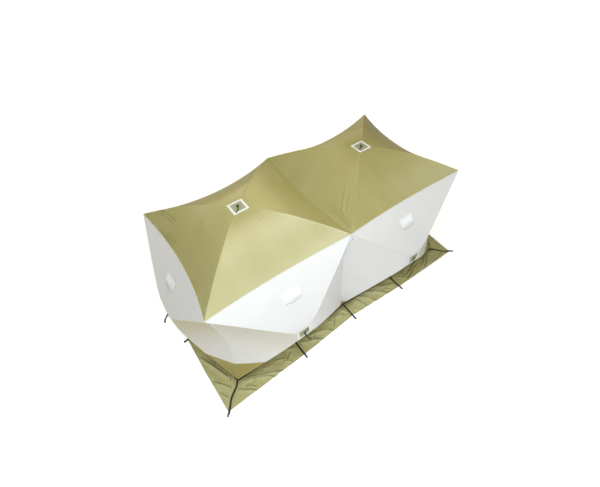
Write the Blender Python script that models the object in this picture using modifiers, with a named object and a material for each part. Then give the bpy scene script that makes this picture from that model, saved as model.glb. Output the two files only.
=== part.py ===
"""Double cube winter tent, standing popped up on level ground.

Two cubes stand side by side along X. Each face of a cube is a fabric panel that four
glass fibre rods push outwards from its corners to a hub at its middle. A patch with
a pull loop sits outside each hub, and a skirt with webbing straps lies round the base.
Metres, +Z up, origin on the ground under the middle of the tent.
"""

import math

import bmesh
import bpy
import numpy as np
from mathutils import Matrix

# Tent body
CUBE_NAMES = ("left", "right")
CUBE_LENGTH = 1.80
TENT_DEPTH = 1.80
CORNER_HEIGHT = 1.63
ROOF_RISE = 0.27
SIDE_BULGE = 0.29
END_BULGE = 0.32
WALL_HUB_DROP = 0.03
MIDDLE_FOOT_IN = 0.06
FABRIC_THICKNESS = 0.002
SEAM_BOW = 0.09
SEAM_BOW_FADE = 1.5
HUB_FLAT_HALF = 0.10
PIN_HOLE_RADIUS = 0.006
CLEARANCE = 0.0003

# Grid of one panel facet
STEPS_ALONG = 6
STEPS_IN = 6

# Rods and hubs. A bend is the share of its length over which a rod rounds off into its hub.
ROD_DIAMETER = 0.010
ROOF_ROD_BEND = 0.85
SIDE_ROD_BEND = 0.08
END_ROD_BEND = 0.13
ROD_SEAT_CLEARANCE = 0.0005
ROD_TIP_SETBACK = 0.035
ROD_TIP_TO_HUB_AXIS = 0.008
HUB_RADIUS = 0.078
HUB_THICKNESS = 0.019
HUB_FLOOR = 0.005
HUB_EDGE_BEVEL = 0.002
CHANNEL_SIDE_CLEARANCE = 0.0006
CHANNEL_PAST_RIM = 0.015
HUB_SIDES = 32

# Patch, pin and pull loop over each hub
PATCH_SIDE = 0.19
PATCH_THICKNESS = 0.002
PATCH_CORNER_RADIUS = 0.012
PATCH_CORNER_STEPS = 3
PIN_RADIUS = 0.004
PIN_SIDES = 12
LOOP_WIDTH = 0.025
LOOP_THICKNESS = 0.003
LOOP_HEIGHT = 0.026
LOOP_TAIL = 0.16
ARCH_STEPS = 8

# Skirt on the ground
SKIRT_WIDTH = 0.27
SKIRT_HEM_INSIDE = 0.015
SKIRT_THICKNESS = 0.003
SKIRT_FOLD_HEIGHT = 0.016
SKIRT_FOLD_DRIFT = 0.06
SKIRT_FLAT_BAND = 0.010
FOLDS_PER_SPAN = 3
SKIRT_ROWS = 5
FOLD_LIFT_AT_HEM = 0.75

# Webbing round the base, with a strap at each corner and between
WEBBING_WIDTH = 0.025
WEBBING_THICKNESS = 0.0015
STRAP_FLAT_MARGIN = 0.0175
STRAP_PAST_SKIRT = 0.05
STRAP_SPACING = 0.90

# Zipped door in one facet of the right end wall
DOOR_PANEL = "right_end"
DOOR_FACET = 3
DOOR_STEPS_ALONG = (1, 5)
DOOR_STEPS_IN = (1, 5)

TENT_LENGTH = CUBE_LENGTH * len(CUBE_NAMES)
WALL_FOOT = SKIRT_THICKNESS + CLEARANCE + FABRIC_THICKNESS
HUB_CORE_DEPTH = HUB_THICKNESS - HUB_FLOOR
FACETS = 4
JUST_INSIDE_SEAM = 0.01
SHARP_EDGE = math.radians(40)


def unit(vector):
    return vector / np.linalg.norm(vector)


class Panel:
    """One face of the tent: its corners anticlockwise from outside, and its frame.

    across and up lie in the panel's plane and out points away from the tent. hub is
    the middle of the flat spot that the hub holds out, on the fabric's inner side.
    """

    def __init__(self, name, corners, out, bulge, drop, bend, material):
        self.name = name
        self.bulge = bulge
        self.bend = bend
        self.corners = np.array(corners, float)
        self.out = np.array(out, float)
        side = self.corners[2] - self.corners[3]
        self.across = unit(side - self.out * (side @ self.out))
        self.up = np.cross(self.out, self.across)
        outermost = (self.corners @ self.out).max()
        middle = self.corners.mean(axis=0)
        self.hub = middle + (outermost + bulge - middle @ self.out) * self.out - drop * self.up
        self.material = material
        half_width = np.linalg.norm(self.corners[1] - self.corners[0]) / 2
        level = self.corners - self.out * ((self.corners - self.hub) @ self.out)[:, None]
        self.flat_corners = self.hub + (level - self.hub) * HUB_FLAT_HALF / half_width
        self.bows = [seam_bow(*self.edge(k)) for k in range(FACETS)]

    def edge(self, k):
        return self.corners[k], self.corners[(k + 1) % FACETS]

    def ridge(self, k, u):
        """The line that rod k holds out, from corner k (0) to the flat spot (1).

        It climbs along a hyperbola that is nearly straight at the corner and level at the hub.
        """
        u = np.asarray(u, float)[..., None]
        start, end = self.corners[k], self.flat_corners[k]
        whole = math.hypot(1, self.bend) - self.bend
        climb = 1 - (np.hypot(1 - u, self.bend) - self.bend) / whole
        return start + (end - start) * u + self.out * self.bulge * (climb - u)

    def surface(self, k, u, v):
        """Facet k: a straight sheet between its two ridges, drawn in by its seam's bow.

        u runs from the seam (0) to the flat spot (1), v from ridge k (0) to the next (1).
        """
        u, v = np.broadcast_arrays(np.asarray(u, float), np.asarray(v, float))
        sheet = (1 - v)[..., None] * self.ridge(k, u) + v[..., None] * self.ridge((k + 1) % FACETS, u)
        drawn = 4 * v * (1 - v) * (1 - u) ** SEAM_BOW_FADE
        return sheet + drawn[..., None] * self.bows[k]

    def seam_inset(self, k):
        """How far facet k stops short of its seam, so that two panels never touch."""
        start, end = self.edge(k)
        if not between_cubes(start, end):
            return CLEARANCE
        # In the valley between two cubes the sheets' outer faces lean towards each other.
        inward = self.surface(k, JUST_INSIDE_SEAM, 0.5) - self.surface(k, 0.0, 0.5)
        lean = abs(inward @ self.out) / np.linalg.norm(inward - self.out * (inward @ self.out))
        return CLEARANCE + FABRIC_THICKNESS * lean

    def first_row(self, k, v):
        """The value of u where facet k starts, for each v."""
        depth = np.linalg.norm(self.surface(k, 1.0, 0.5) - self.surface(k, 0.0, 0.5))
        insets = [self.seam_inset(k % FACETS) for k in (k - 1, k, k + 1)]
        at_corner = np.where(v < 0.5, max(insets[:2]), max(insets[1:]))
        return np.where((v == 0) | (v == 1), at_corner, insets[1]) / depth

    def grid(self):
        """Points of the whole panel, as rows from the seams in and columns all the way round."""
        v = np.arange(STEPS_ALONG) / STEPS_ALONG
        rows = []
        for step in range(STEPS_IN + 1):
            facets = []
            for k in range(FACETS):
                u = self.first_row(k, v) if step == 0 else np.full_like(v, step / STEPS_IN)
                facets.append(self.surface(k, u, v))
            rows.append(np.concatenate(facets))
        return np.array(rows)

    def rod_line(self, k, u):
        """The axis of rod k under its ridge, deep enough to clear both facets beside it."""
        u = np.asarray(u, float)
        step = 1 / STEPS_ALONG
        ridge = self.ridge(k, u)
        ahead = self.ridge(k, np.minimum(u + step, 1)) - self.ridge(k, np.maximum(u - step, 0))
        right = np.cross(ahead, self.surface(k, u, np.full_like(u, step)) - ridge)
        left = np.cross(self.surface((k - 1) % FACETS, u, np.full_like(u, 1 - step)) - ridge, ahead)
        right *= np.sign(right @ self.out)[:, None] / np.linalg.norm(right, axis=1)[:, None]
        left *= np.sign(left @ self.out)[:, None] / np.linalg.norm(left, axis=1)[:, None]
        middle = right + left
        middle /= np.linalg.norm(middle, axis=1)[:, None]
        flattest = np.minimum((middle * right).sum(1), (middle * left).sum(1))
        deep = (ROD_DIAMETER / 2 + ROD_SEAT_CLEARANCE) / flattest
        return ridge - middle * deep[:, None]

    def rod_points(self, k):
        """Rod k from its tip at the corner, its pivot, to its end in the hub's channel."""
        points = self.rod_line(k, np.arange(STEPS_IN + 1) / STEPS_IN)
        points[0] += unit(points[1] - points[0]) * ROD_TIP_SETBACK
        depth = ROD_DIAMETER / 2 + ROD_SEAT_CLEARANCE
        centre = self.hub - self.out * depth
        points[-1] = self.flat_corners[k] - self.out * depth
        span = centre - points[0]
        height = span @ self.out
        reach = np.linalg.norm(span - self.out * height)
        # Laid flat on its way through, the rod's end still stops short of the hub's axis.
        end_radius = reach - math.sqrt((reach - ROD_TIP_TO_HUB_AXIS) ** 2 - height**2)
        outward = unit(points[-1] - centre)
        return np.vstack([points, centre + outward * end_radius])

    def hub_travel(self):
        """How far the hub goes in when the panel is popped through: twice its rods' mean height."""
        heights = []
        for k in range(FACETS):
            points = self.rod_points(k)
            heights.append((points[-1] - points[0]) @ self.out)
        return 2 * np.mean(heights)

    def rod_motion(self, k):
        """(pivot, axis, angle): how far rod k turns about its corner over the hub's whole travel."""
        points = self.rod_points(k)
        span = points[-1] - points[0]
        height = span @ self.out
        level = span - self.out * height
        below = math.asin((self.hub_travel() - height) / np.linalg.norm(span))
        angle = math.atan2(height, np.linalg.norm(level)) + below
        return points[0], np.cross(unit(level), self.out), angle

    def matrix(self):
        """The hub's frame: X across, Y up the panel, Z out."""
        frame = Matrix.Identity(4)
        for column, axis in enumerate((self.across, self.up, self.out, self.hub)):
            for row in range(3):
                frame[row][column] = axis[row]
        return frame


def between_cubes(start, end):
    """True for a seam where two cubes meet."""
    inner = abs(start[0]) < TENT_LENGTH / 2 - CLEARANCE
    return inner and abs(start[0] - end[0]) < CLEARANCE


def seam_bow(start, end):
    """A seam's pull at its middle: inwards from each outer face of the tent that it lies on."""
    bow = np.zeros(3)
    if max(start[2], end[2]) < CORNER_HEIGHT / 2:
        return bow
    for axis, half in ((0, TENT_LENGTH / 2), (1, TENT_DEPTH / 2)):
        outermost = half - MIDDLE_FOOT_IN - CLEARANCE
        if start[axis] * end[axis] > 0 and min(abs(start[axis]), abs(end[axis])) > outermost:
            bow[axis] = -math.copysign(SEAM_BOW, start[axis])
    if min(start[2], end[2]) > CORNER_HEIGHT / 2:
        bow[2] = -SEAM_BOW
    return bow


def foot_y(x):
    """Half the width of the tent's foot at x: drawn in towards the seam between the cubes."""
    return TENT_DEPTH / 2 - MIDDLE_FOOT_IN * max(0, 1 - abs(x) / CUBE_LENGTH)


def tent_panels():
    """Two roofs, two fronts, two backs and two ends."""
    y = TENT_DEPTH / 2
    low, high = WALL_FOOT, CORNER_HEIGHT
    panels = []
    for index, side in enumerate(CUBE_NAMES):
        x0 = -TENT_LENGTH / 2 + index * CUBE_LENGTH
        x1 = x0 + CUBE_LENGTH
        roof = [(x0, -y, high), (x1, -y, high), (x1, y, high), (x0, y, high)]
        front = [(x0, -foot_y(x0), low), (x1, -foot_y(x1), low), (x1, -y, high), (x0, -y, high)]
        back = [(x1, foot_y(x1), low), (x0, foot_y(x0), low), (x0, y, high), (x1, y, high)]
        panels.append(Panel(f"roof_{side}", roof, (0, 0, 1), ROOF_RISE, 0, ROOF_ROD_BEND, "roof_fabric"))
        wall = (SIDE_BULGE, WALL_HUB_DROP, SIDE_ROD_BEND, "wall_fabric")
        panels.append(Panel(f"front_{side}", front, (0, -1, 0), *wall))
        panels.append(Panel(f"back_{side}", back, (0, 1, 0), *wall))
    x = TENT_LENGTH / 2
    left = [(-x, y, low), (-x, -y, low), (-x, -y, high), (-x, y, high)]
    right = [(x, -y, low), (x, y, low), (x, y, high), (x, -y, high)]
    wall = (END_BULGE, WALL_HUB_DROP, END_ROD_BEND, "wall_fabric")
    panels.append(Panel("left_end", left, (-1, 0, 0), *wall))
    panels.append(Panel("right_end", right, (1, 0, 0), *wall))
    return panels


# Colour, roughness and metallic value of each finish
FINISHES = {
    "roof_fabric": ((0.42, 0.40, 0.20), 0.85, 0.0),
    "wall_fabric": ((0.70, 0.69, 0.66), 0.85, 0.0),
    "skirt_fabric": ((0.33, 0.32, 0.17), 0.90, 0.0),
    "door_fabric": ((0.66, 0.65, 0.62), 0.85, 0.0),
    "patch_fabric": ((0.72, 0.72, 0.68), 0.80, 0.0),
    "webbing": ((0.03, 0.03, 0.03), 0.75, 0.0),
    "rod_glass_fibre": ((0.12, 0.12, 0.12), 0.35, 0.0),
    "hub_plastic": ((0.05, 0.05, 0.05), 0.45, 0.0),
}


def clear_scene():
    for obj in list(bpy.data.objects):
        bpy.data.objects.remove(obj, do_unlink=True)


def new_collection(name, helpers=False):
    collection = bpy.data.collections.new(name)
    bpy.context.scene.collection.children.link(collection)
    collection.hide_render = helpers
    return collection


def finish(obj, finish_name):
    """Give an object a material of its own in one of the named finishes."""
    colour, roughness, metallic = FINISHES[finish_name]
    material = bpy.data.materials.new(f"{obj.name}_material")
    material.use_nodes = True
    shader = material.node_tree.nodes["Principled BSDF"]
    shader.inputs["Base Color"].default_value = (*colour, 1.0)
    shader.inputs["Roughness"].default_value = roughness
    shader.inputs["Metallic"].default_value = metallic
    obj.data.materials.clear()
    obj.data.materials.append(material)


def add_mesh_object(name, mesh, collection):
    obj = bpy.data.objects.new(name, mesh)
    collection.objects.link(obj)
    return obj


def ring_faces(rows, columns):
    """Quads of a grid whose columns close into a ring."""
    row, column = np.meshgrid(np.arange(rows - 1), np.arange(columns), indexing="ij")
    following = (column + 1) % columns
    a = row * columns + column
    b = row * columns + following
    return np.stack([a, b, b + columns, a + columns], axis=-1)


def sheet_mesh(name, points, faces, out):
    """A triangulated sheet whose faces point towards out."""
    mesh = bpy.data.meshes.new(name)
    mesh.from_pydata(points.tolist(), [], faces.tolist())
    surface = bmesh.new()
    surface.from_mesh(mesh)
    loose = [vertex for vertex in surface.verts if not vertex.link_faces]
    bmesh.ops.delete(surface, geom=loose, context="VERTS")
    bmesh.ops.triangulate(surface, faces=surface.faces)
    bmesh.ops.recalc_face_normals(surface, faces=surface.faces)
    facing = sum(face.calc_area() * face.normal.dot(out) for face in surface.faces)
    if facing < 0:
        bmesh.ops.reverse_faces(surface, faces=surface.faces)
    surface.to_mesh(mesh)
    surface.free()
    return mesh


def thicken(obj, thickness):
    """Give a sheet its thickness, outwards from its inner side."""
    solid = obj.modifiers.new("Fabric thickness", "SOLIDIFY")
    solid.thickness = thickness
    solid.offset = 1
    solid.use_even_offset = True
    obj.data.shade_smooth()
    obj.data.set_sharp_from_angle(angle=SHARP_EDGE)


def prism(name, outlines, low, high, collection):
    """A flat outline, with its holes, filled from low to high along Z, as a welded mesh."""
    curve = bpy.data.curves.new(name, "CURVE")
    curve.dimensions = "2D"
    curve.fill_mode = "BOTH"
    curve.extrude = (high - low) / 2
    for outline in outlines:
        spline = curve.splines.new("POLY")
        spline.points.add(len(outline) - 1)
        for point, (x, y) in zip(spline.points, outline):
            point.co = (x, y, 0, 1)
        spline.use_cyclic_u = True
    flat = add_mesh_object(f"{name}_outline", curve, collection)
    bpy.context.view_layer.update()
    mesh = bpy.data.meshes.new_from_object(flat.evaluated_get(bpy.context.evaluated_depsgraph_get()))
    bpy.data.objects.remove(flat, do_unlink=True)
    mesh.transform(Matrix.Translation((0, 0, (high + low) / 2)))
    solid = bmesh.new()
    solid.from_mesh(mesh)
    bmesh.ops.remove_doubles(solid, verts=solid.verts, dist=1e-6)
    bmesh.ops.recalc_face_normals(solid, faces=solid.faces)
    solid.to_mesh(mesh)
    solid.free()
    return add_mesh_object(name, mesh, collection)


def cylinder(name, radius, low, high, segments, collection):
    solid = bmesh.new()
    bmesh.ops.create_cone(
        solid,
        cap_ends=True,
        segments=segments,
        radius1=radius,
        radius2=radius,
        depth=high - low,
        matrix=Matrix.Translation((0, 0, (high + low) / 2)),
    )
    mesh = bpy.data.meshes.new(name)
    solid.to_mesh(mesh)
    solid.free()
    return add_mesh_object(name, mesh, collection)


def combine(obj, other, operation):
    """Cut other out of obj, or join it on, and keep other as a helper."""
    other.hide_render = True
    other.display_type = "WIRE"
    modifier = obj.modifiers.new(other.name, "BOOLEAN")
    modifier.operation = operation
    modifier.object = other


def facet_column(k, along):
    return k * STEPS_ALONG + along


def make_panel(panel, parts):
    """The fabric of one panel, open at the hub's pin and, on the door's panel, at the door."""
    rows = panel.grid()
    columns = rows.shape[1]
    turn = np.arctan2((rows[-1] - panel.hub) @ panel.up, (rows[-1] - panel.hub) @ panel.across)
    hole = panel.hub + PIN_HOLE_RADIUS * (
        np.cos(turn)[:, None] * panel.across + np.sin(turn)[:, None] * panel.up
    )
    points = np.concatenate([rows, hole[None]])
    faces = ring_faces(len(points), columns)
    keep = np.ones(faces.shape[:2], bool)
    if panel.name == DOOR_PANEL:
        first, last = (facet_column(DOOR_FACET, along) for along in DOOR_STEPS_ALONG)
        keep[slice(*DOOR_STEPS_IN), first:last] = False
    mesh = sheet_mesh(panel.name, points.reshape(-1, 3), faces[keep], panel.out)
    obj = add_mesh_object(f"panel_{panel.name}", mesh, parts)
    thicken(obj, FABRIC_THICKNESS)
    finish(obj, panel.material)


def make_door(panel, parts):
    """The flap that fills the door's opening, a zip's clearance inside its edge."""
    depth = np.linalg.norm(panel.surface(DOOR_FACET, 1.0, 0.5) - panel.surface(DOOR_FACET, 0.0, 0.5))
    start, end = panel.edge(DOOR_FACET)
    narrowest = np.linalg.norm(end - start) * (1 - DOOR_STEPS_IN[1] / STEPS_IN)
    u = np.arange(DOOR_STEPS_IN[0], DOOR_STEPS_IN[1] + 1) / STEPS_IN
    v = np.arange(DOOR_STEPS_ALONG[0], DOOR_STEPS_ALONG[1] + 1) / STEPS_ALONG
    u[0] += CLEARANCE / depth
    u[-1] -= CLEARANCE / depth
    v[0] += CLEARANCE / narrowest
    v[-1] -= CLEARANCE / narrowest
    points = panel.surface(DOOR_FACET, *np.meshgrid(u, v, indexing="ij"))
    rows, columns = points.shape[:2]
    index = np.arange(rows * columns).reshape(rows, columns)
    faces = np.stack([index[:-1, :-1], index[:-1, 1:], index[1:, 1:], index[1:, :-1]], axis=-1)
    mesh = sheet_mesh("door", points.reshape(-1, 3), faces.reshape(-1, 4), panel.out)
    obj = add_mesh_object("door_flap", mesh, parts)
    thicken(obj, FABRIC_THICKNESS)
    finish(obj, "door_fabric")


def make_rods(panel, parts):
    """Four round rods, each with its origin at its pivot in the panel's corner."""
    for k in range(FACETS):
        points = panel.rod_points(k)
        curve = bpy.data.curves.new(f"rod_{panel.name}_{k + 1}", "CURVE")
        curve.dimensions = "3D"
        curve.bevel_depth = ROD_DIAMETER / 2
        curve.bevel_resolution = 2
        curve.use_fill_caps = True
        spline = curve.splines.new("POLY")
        spline.points.add(len(points) - 1)
        for point, place in zip(spline.points, points - points[0]):
            point.co = (*place, 1)
        obj = add_mesh_object(curve.name, curve, parts)
        obj.location = points[0]
        finish(obj, "rod_glass_fibre")


def channel_outline(panel):
    """A star with one arm as wide as a rod's channel along each rod, past the hub's rim."""
    half = ROD_DIAMETER / 2 + CHANNEL_SIDE_CLEARANCE
    reach = HUB_RADIUS + CHANNEL_PAST_RIM
    level = panel.corners - panel.hub
    angles = np.unwrap(np.arctan2(level @ panel.up, level @ panel.across))
    outline = []
    for k, angle in enumerate(angles):
        along = np.array([math.cos(angle), math.sin(angle)])
        aside = np.array([-along[1], along[0]])
        outline.append(along * reach - aside * half)
        outline.append(along * reach + aside * half)
        gap = (angles[(k + 1) % FACETS] - angle) % (2 * math.pi)
        middle = angle + gap / 2
        crook = half / math.sin(gap / 2)
        outline.append(np.array([math.cos(middle), math.sin(middle)]) * crook)
    return outline


def make_hub(panel, parts, cutters):
    """A round hub under the fabric, with an open channel for each rod's end."""
    top = -CLEARANCE
    obj = cylinder(f"hub_{panel.name}", HUB_RADIUS, top - HUB_THICKNESS, top, HUB_SIDES, parts)
    obj.matrix_world = panel.matrix()
    bevel = obj.modifiers.new("Rounded rim", "BEVEL")
    bevel.width = HUB_EDGE_BEVEL
    bevel.segments = 1
    bevel.limit_method = "ANGLE"
    star = prism(
        f"channels_{panel.name}",
        [channel_outline(panel)],
        top - HUB_CORE_DEPTH,
        top + HUB_CORE_DEPTH,
        cutters,
    )
    star.matrix_world = panel.matrix()
    combine(obj, star, "DIFFERENCE")
    finish(obj, "hub_plastic")


def rounded_square(side, radius):
    half = side / 2 - radius
    outline = []
    for corner, (x, y) in enumerate(((half, half), (-half, half), (-half, -half), (half, -half))):
        for step in range(PATCH_CORNER_STEPS + 1):
            angle = math.pi / 2 * (corner + step / PATCH_CORNER_STEPS)
            outline.append((x + radius * math.cos(angle), y + radius * math.sin(angle)))
    return outline


def loop_outline(top):
    """The pull loop from the side: an arch of webbing over the pin, then its hanging tail."""
    arch = np.linspace(0, math.pi, ARCH_STEPS + 1)
    radius = LOOP_HEIGHT / 2
    x = np.concatenate([radius * np.cos(arch), [-radius - LOOP_TAIL / 2, -radius - LOOP_TAIL]])
    y = np.concatenate([LOOP_HEIGHT * np.sin(arch), [LOOP_THICKNESS, LOOP_THICKNESS]])
    middle = np.stack([x, y], axis=1)
    ahead = np.gradient(middle, axis=0)
    aside = np.stack([-ahead[:, 1], ahead[:, 0]], axis=1) / np.linalg.norm(ahead, axis=1)[:, None]
    half = LOOP_THICKNESS / 2
    outline = np.concatenate([middle + aside * half, (middle - aside * half)[::-1]])
    return outline + [0, top]


def patch_mesh(cutters):
    """Patch, pin and pull loop as one piece, in the hub's frame, shared by every hub."""
    low = FABRIC_THICKNESS + CLEARANCE
    top = low + PATCH_THICKNESS
    square = rounded_square(PATCH_SIDE, PATCH_CORNER_RADIUS)
    patch = prism("patch_plate", [square], low, top, cutters)
    pin_top = top - PATCH_THICKNESS / 2
    pin = cylinder("patch_pin", PIN_RADIUS, -HUB_CORE_DEPTH, pin_top, PIN_SIDES, cutters)
    outline = loop_outline(top)
    strap = prism("patch_loop", [outline], -LOOP_WIDTH / 2, LOOP_WIDTH / 2, cutters)
    # Stand the side view up: its length goes down the panel and its height out of it.
    stand = Matrix(((0, 0, 1, 0), (1, 0, 0, 0), (0, 1, 0, 0), (0, 0, 0, 1)))
    strap.data.transform(stand)
    combine(patch, pin, "UNION")
    combine(patch, strap, "UNION")
    bpy.context.view_layer.update()
    graph = bpy.context.evaluated_depsgraph_get()
    mesh = bpy.data.meshes.new_from_object(patch.evaluated_get(graph))
    patch.hide_render = True
    patch.display_type = "WIRE"
    return mesh


def make_patch(panel, mesh, parts):
    obj = add_mesh_object(f"patch_{panel.name}", mesh.copy(), parts)
    obj.matrix_world = panel.matrix()
    finish(obj, "patch_fabric")


def strap_stops(length):
    """Places of the straps along one side, corner to corner."""
    spans = max(1, round(length / STRAP_SPACING))
    return np.linspace(-length / 2, length / 2, spans + 1)


def skirt_stations(length):
    """Stations along one side: each strap, a flat margin beside it, then the folds."""
    stops = strap_stops(length)
    margin = WEBBING_WIDTH / 2 + STRAP_FLAT_MARGIN
    places, folds = [], []
    for start, end in zip(stops[:-1], stops[1:]):
        crests = 2 * FOLDS_PER_SPAN + 1
        inner = np.linspace(start + margin, end - margin, crests + 2)
        places += [start, *inner]
        folds += [0, 0, *(np.arange(crests) % 2), 0]
    return np.array(places), np.array(folds, float)


def ground_point(side, along, spread):
    """A point on the ground, spread outside one side of the tent's foot, at along from its middle.

    Sides run anticlockwise from the front. The skirt's hem is straight, so the foot's
    drawn-in middle fades out with spread.
    """
    half_x, half_y = TENT_LENGTH / 2, TENT_DEPTH / 2
    if side % 2 == 0:
        fade = 1 - np.clip(spread / SKIRT_WIDTH, 0, 1)
        drawn = fade * MIDDLE_FOOT_IN * np.clip(1 - np.abs(along) / CUBE_LENGTH, 0, None)
        point = np.stack([along, 0 * along - half_y - spread + drawn], axis=-1)
    else:
        point = np.stack([0 * along + half_x + spread, along], axis=-1)
    return point if side < 2 else -point


def make_skirt(parts):
    """A ring of fabric on the ground, flat underneath, with folds that drift sideways as they run out."""
    flat_band = WEBBING_WIDTH + SKIRT_FLAT_BAND
    spreads = [-SKIRT_HEM_INSIDE, *np.linspace(flat_band, SKIRT_WIDTH, SKIRT_ROWS)]
    rows = []
    for row, spread in enumerate(spreads):
        outwards = max(row - 1, 0) / (SKIRT_ROWS - 1)
        ring = []
        for side, length in enumerate((TENT_LENGTH, TENT_DEPTH) * 2):
            places, folds = skirt_stations(length)
            moved = places * (1 + 2 * spread / length) + SKIRT_FOLD_DRIFT * outwards**2 * folds
            flat = ground_point(side, moved, spread)
            lift = math.sin(math.pi * min(FOLD_LIFT_AT_HEM, outwards))
            height = SKIRT_THICKNESS + SKIRT_FOLD_HEIGHT * folds * lift
            ring.append(np.column_stack([flat, height]))
        rows.append(np.concatenate(ring))
    under = [rows[-1] * [1, 1, 0], rows[0] * [1, 1, 0]]
    points = np.array(rows + under)
    faces = ring_faces(len(points), points.shape[1])
    count = points.shape[1]
    last = (len(points) - 1) * count
    column = np.arange(count)
    following = (column + 1) % count
    closing = np.stack([last + column, last + following, following, column], axis=-1)
    mesh = bpy.data.meshes.new("skirt")
    faces = np.concatenate([faces.reshape(-1, 4), closing])
    mesh.from_pydata(points.reshape(-1, 3).tolist(), [], faces.tolist())
    solid = bmesh.new()
    solid.from_mesh(mesh)
    bmesh.ops.triangulate(solid, faces=solid.faces)
    bmesh.ops.recalc_face_normals(solid, faces=solid.faces)
    solid.to_mesh(mesh)
    solid.free()
    obj = add_mesh_object("ground_skirt", mesh, parts)
    finish(obj, "skirt_fabric")


def webbing_side(side, length, inner, outer):
    """Outer and inner outline of the webbing along one side, with its straps and far corner strap."""
    half = WEBBING_WIDTH / 2
    strap_end = SKIRT_WIDTH + STRAP_PAST_SKIRT
    tip = SKIRT_WIDTH + STRAP_PAST_SKIRT / math.sqrt(2)
    slant = half / math.sqrt(2)
    stops = strap_stops(length)
    outline = [(-length / 2 - outer + 2 * slant, outer)]
    for stop in stops[1:-1]:
        outline += [(stop - half, outer), (stop - half, strap_end)]
        outline += [(stop + half, strap_end), (stop + half, outer)]
    outline += [(length / 2 + outer - 2 * slant, outer)]
    outline += [(length / 2 + tip - slant, tip + slant), (length / 2 + tip + slant, tip - slant)]
    hole = [(-length / 2 - inner, inner)]
    if side % 2 == 0:
        hole.append((0, inner))
    return [
        [ground_point(side, np.float64(along), spread) for along, spread in line]
        for line in (outline, hole)
    ]


def make_webbing(parts):
    """Webbing round the foot of the walls, with a strap out across the skirt at each stop."""
    inner = FABRIC_THICKNESS + CLEARANCE
    outline, hole = [], []
    for side, length in enumerate((TENT_LENGTH, TENT_DEPTH) * 2):
        outer_points, inner_points = webbing_side(side, length, inner, inner + WEBBING_WIDTH)
        outline += outer_points
        hole += inner_points
    low = SKIRT_THICKNESS + CLEARANCE
    obj = prism("base_webbing", [outline, hole], low, low + WEBBING_THICKNESS, parts)
    finish(obj, "webbing")


def main():
    clear_scene()
    parts = new_collection("winter_cube_tent")
    cutters = new_collection("helpers", helpers=True)
    panels = tent_panels()
    shared_patch = patch_mesh(cutters)
    for panel in panels:
        make_panel(panel, parts)
        make_rods(panel, parts)
        make_hub(panel, parts, cutters)
        make_patch(panel, shared_patch, parts)
        if panel.name == DOOR_PANEL:
            make_door(panel, parts)
    make_skirt(parts)
    make_webbing(parts)


main()
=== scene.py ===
"""Looks of a double cube winter tent, standing popped up on level ground.

Each face of the two cubes is one cloth that four rods push out to a hub at its middle.
The cloths, rods, patches, skirt and straps below stand for the plain solids of the frame
and share their outlines. Metres, +Z up, +X along the tent, the front faces -Y.
"""

import math

import bpy
import bmesh
import numpy as np
from mathutils import Matrix, Vector


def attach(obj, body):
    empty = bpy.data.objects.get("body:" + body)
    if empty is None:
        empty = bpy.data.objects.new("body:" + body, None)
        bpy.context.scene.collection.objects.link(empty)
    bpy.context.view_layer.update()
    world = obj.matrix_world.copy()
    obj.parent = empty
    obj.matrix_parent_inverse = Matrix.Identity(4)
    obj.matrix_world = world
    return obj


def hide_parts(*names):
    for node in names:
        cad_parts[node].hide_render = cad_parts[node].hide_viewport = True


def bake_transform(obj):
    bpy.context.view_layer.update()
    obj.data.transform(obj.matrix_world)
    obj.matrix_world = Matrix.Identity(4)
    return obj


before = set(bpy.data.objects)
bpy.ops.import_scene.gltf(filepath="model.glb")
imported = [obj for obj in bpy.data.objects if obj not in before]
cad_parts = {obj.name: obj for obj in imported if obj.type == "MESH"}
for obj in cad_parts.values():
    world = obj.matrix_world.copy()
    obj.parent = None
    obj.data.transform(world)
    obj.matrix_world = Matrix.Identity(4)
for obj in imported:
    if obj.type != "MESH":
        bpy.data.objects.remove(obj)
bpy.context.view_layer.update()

# Sizes of the tent, as in the frame
CUBE_LENGTH = 1.80
TENT_LENGTH = 2 * CUBE_LENGTH
TENT_DEPTH = 1.80
CORNER_HEIGHT = 1.63
FOOT_HEIGHT = 0.0053
ROOF_RISE = 0.27
SIDE_BULGE = 0.29
END_BULGE = 0.32
WALL_HUB_DROP = 0.03
MIDDLE_FOOT_IN = 0.06
SEAM_BOW = 0.09
SEAM_BOW_FADE = 1.5
TOLERANCE = 0.001
HUB_FLAT_HALF = 0.10
ROOF_ROD_BEND = 0.85
SIDE_ROD_BEND = 0.08
END_ROD_BEND = 0.13
ROD_RADIUS = 0.005
ROD_SEAT = 0.0055
SKIRT_WIDTH = 0.27
SKIRT_HEM_INSIDE = 0.015
SKIRT_TOP = 0.0032
STRAP_PAST_SKIRT = 0.05
STRAP_WIDTH = 0.025
STRAP_SPACING = 0.90
PATCH_SIDE = 0.19
PATCH_LOW = 0.0023
FACETS = 4
DOOR_FACE = "right_end"
DOOR_FACET = 3
DOOR_SHARE = (1 / 6, 5 / 6)

# Make of the cloth and its mesh
CLOTH = 0.0012
SEAM_GAP = 0.0005
ROWS_IN = (60, 78)
COLUMNS_NEAR_RIDGE = (0.0, 0.0014, 0.0034, 0.0062, 0.0105, 0.0165)
COLUMNS_BETWEEN = (68, 104)
SLEEVE_HALF = 0.011
SLEEVE_RISE = 0.0016
SLEEVE_BELL = 0.6
BAND_HEIGHT = 0.345
BAND_HEIGHT_MIDDLE = 0.06
BAND_CLIMB = (0.30, 1.10)

# Slack of the cloth: wavelengths and heights of its waves. It fades out near ridge, seam and hub
SLACK_WAVES = ((0.80, 0.36, 0.15), (0.0026, 0.0014, 0.0005))
RIDGE_CALM = 0.09
SEAM_CALM = 0.08
HUB_CALM = (0.08, 0.16)
SLEEVE_END = 0.03
FANS_PER_CORNER = 6
FAN_HALF_ANGLE = 0.68
DEEP_CREASE = 0.0080

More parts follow.
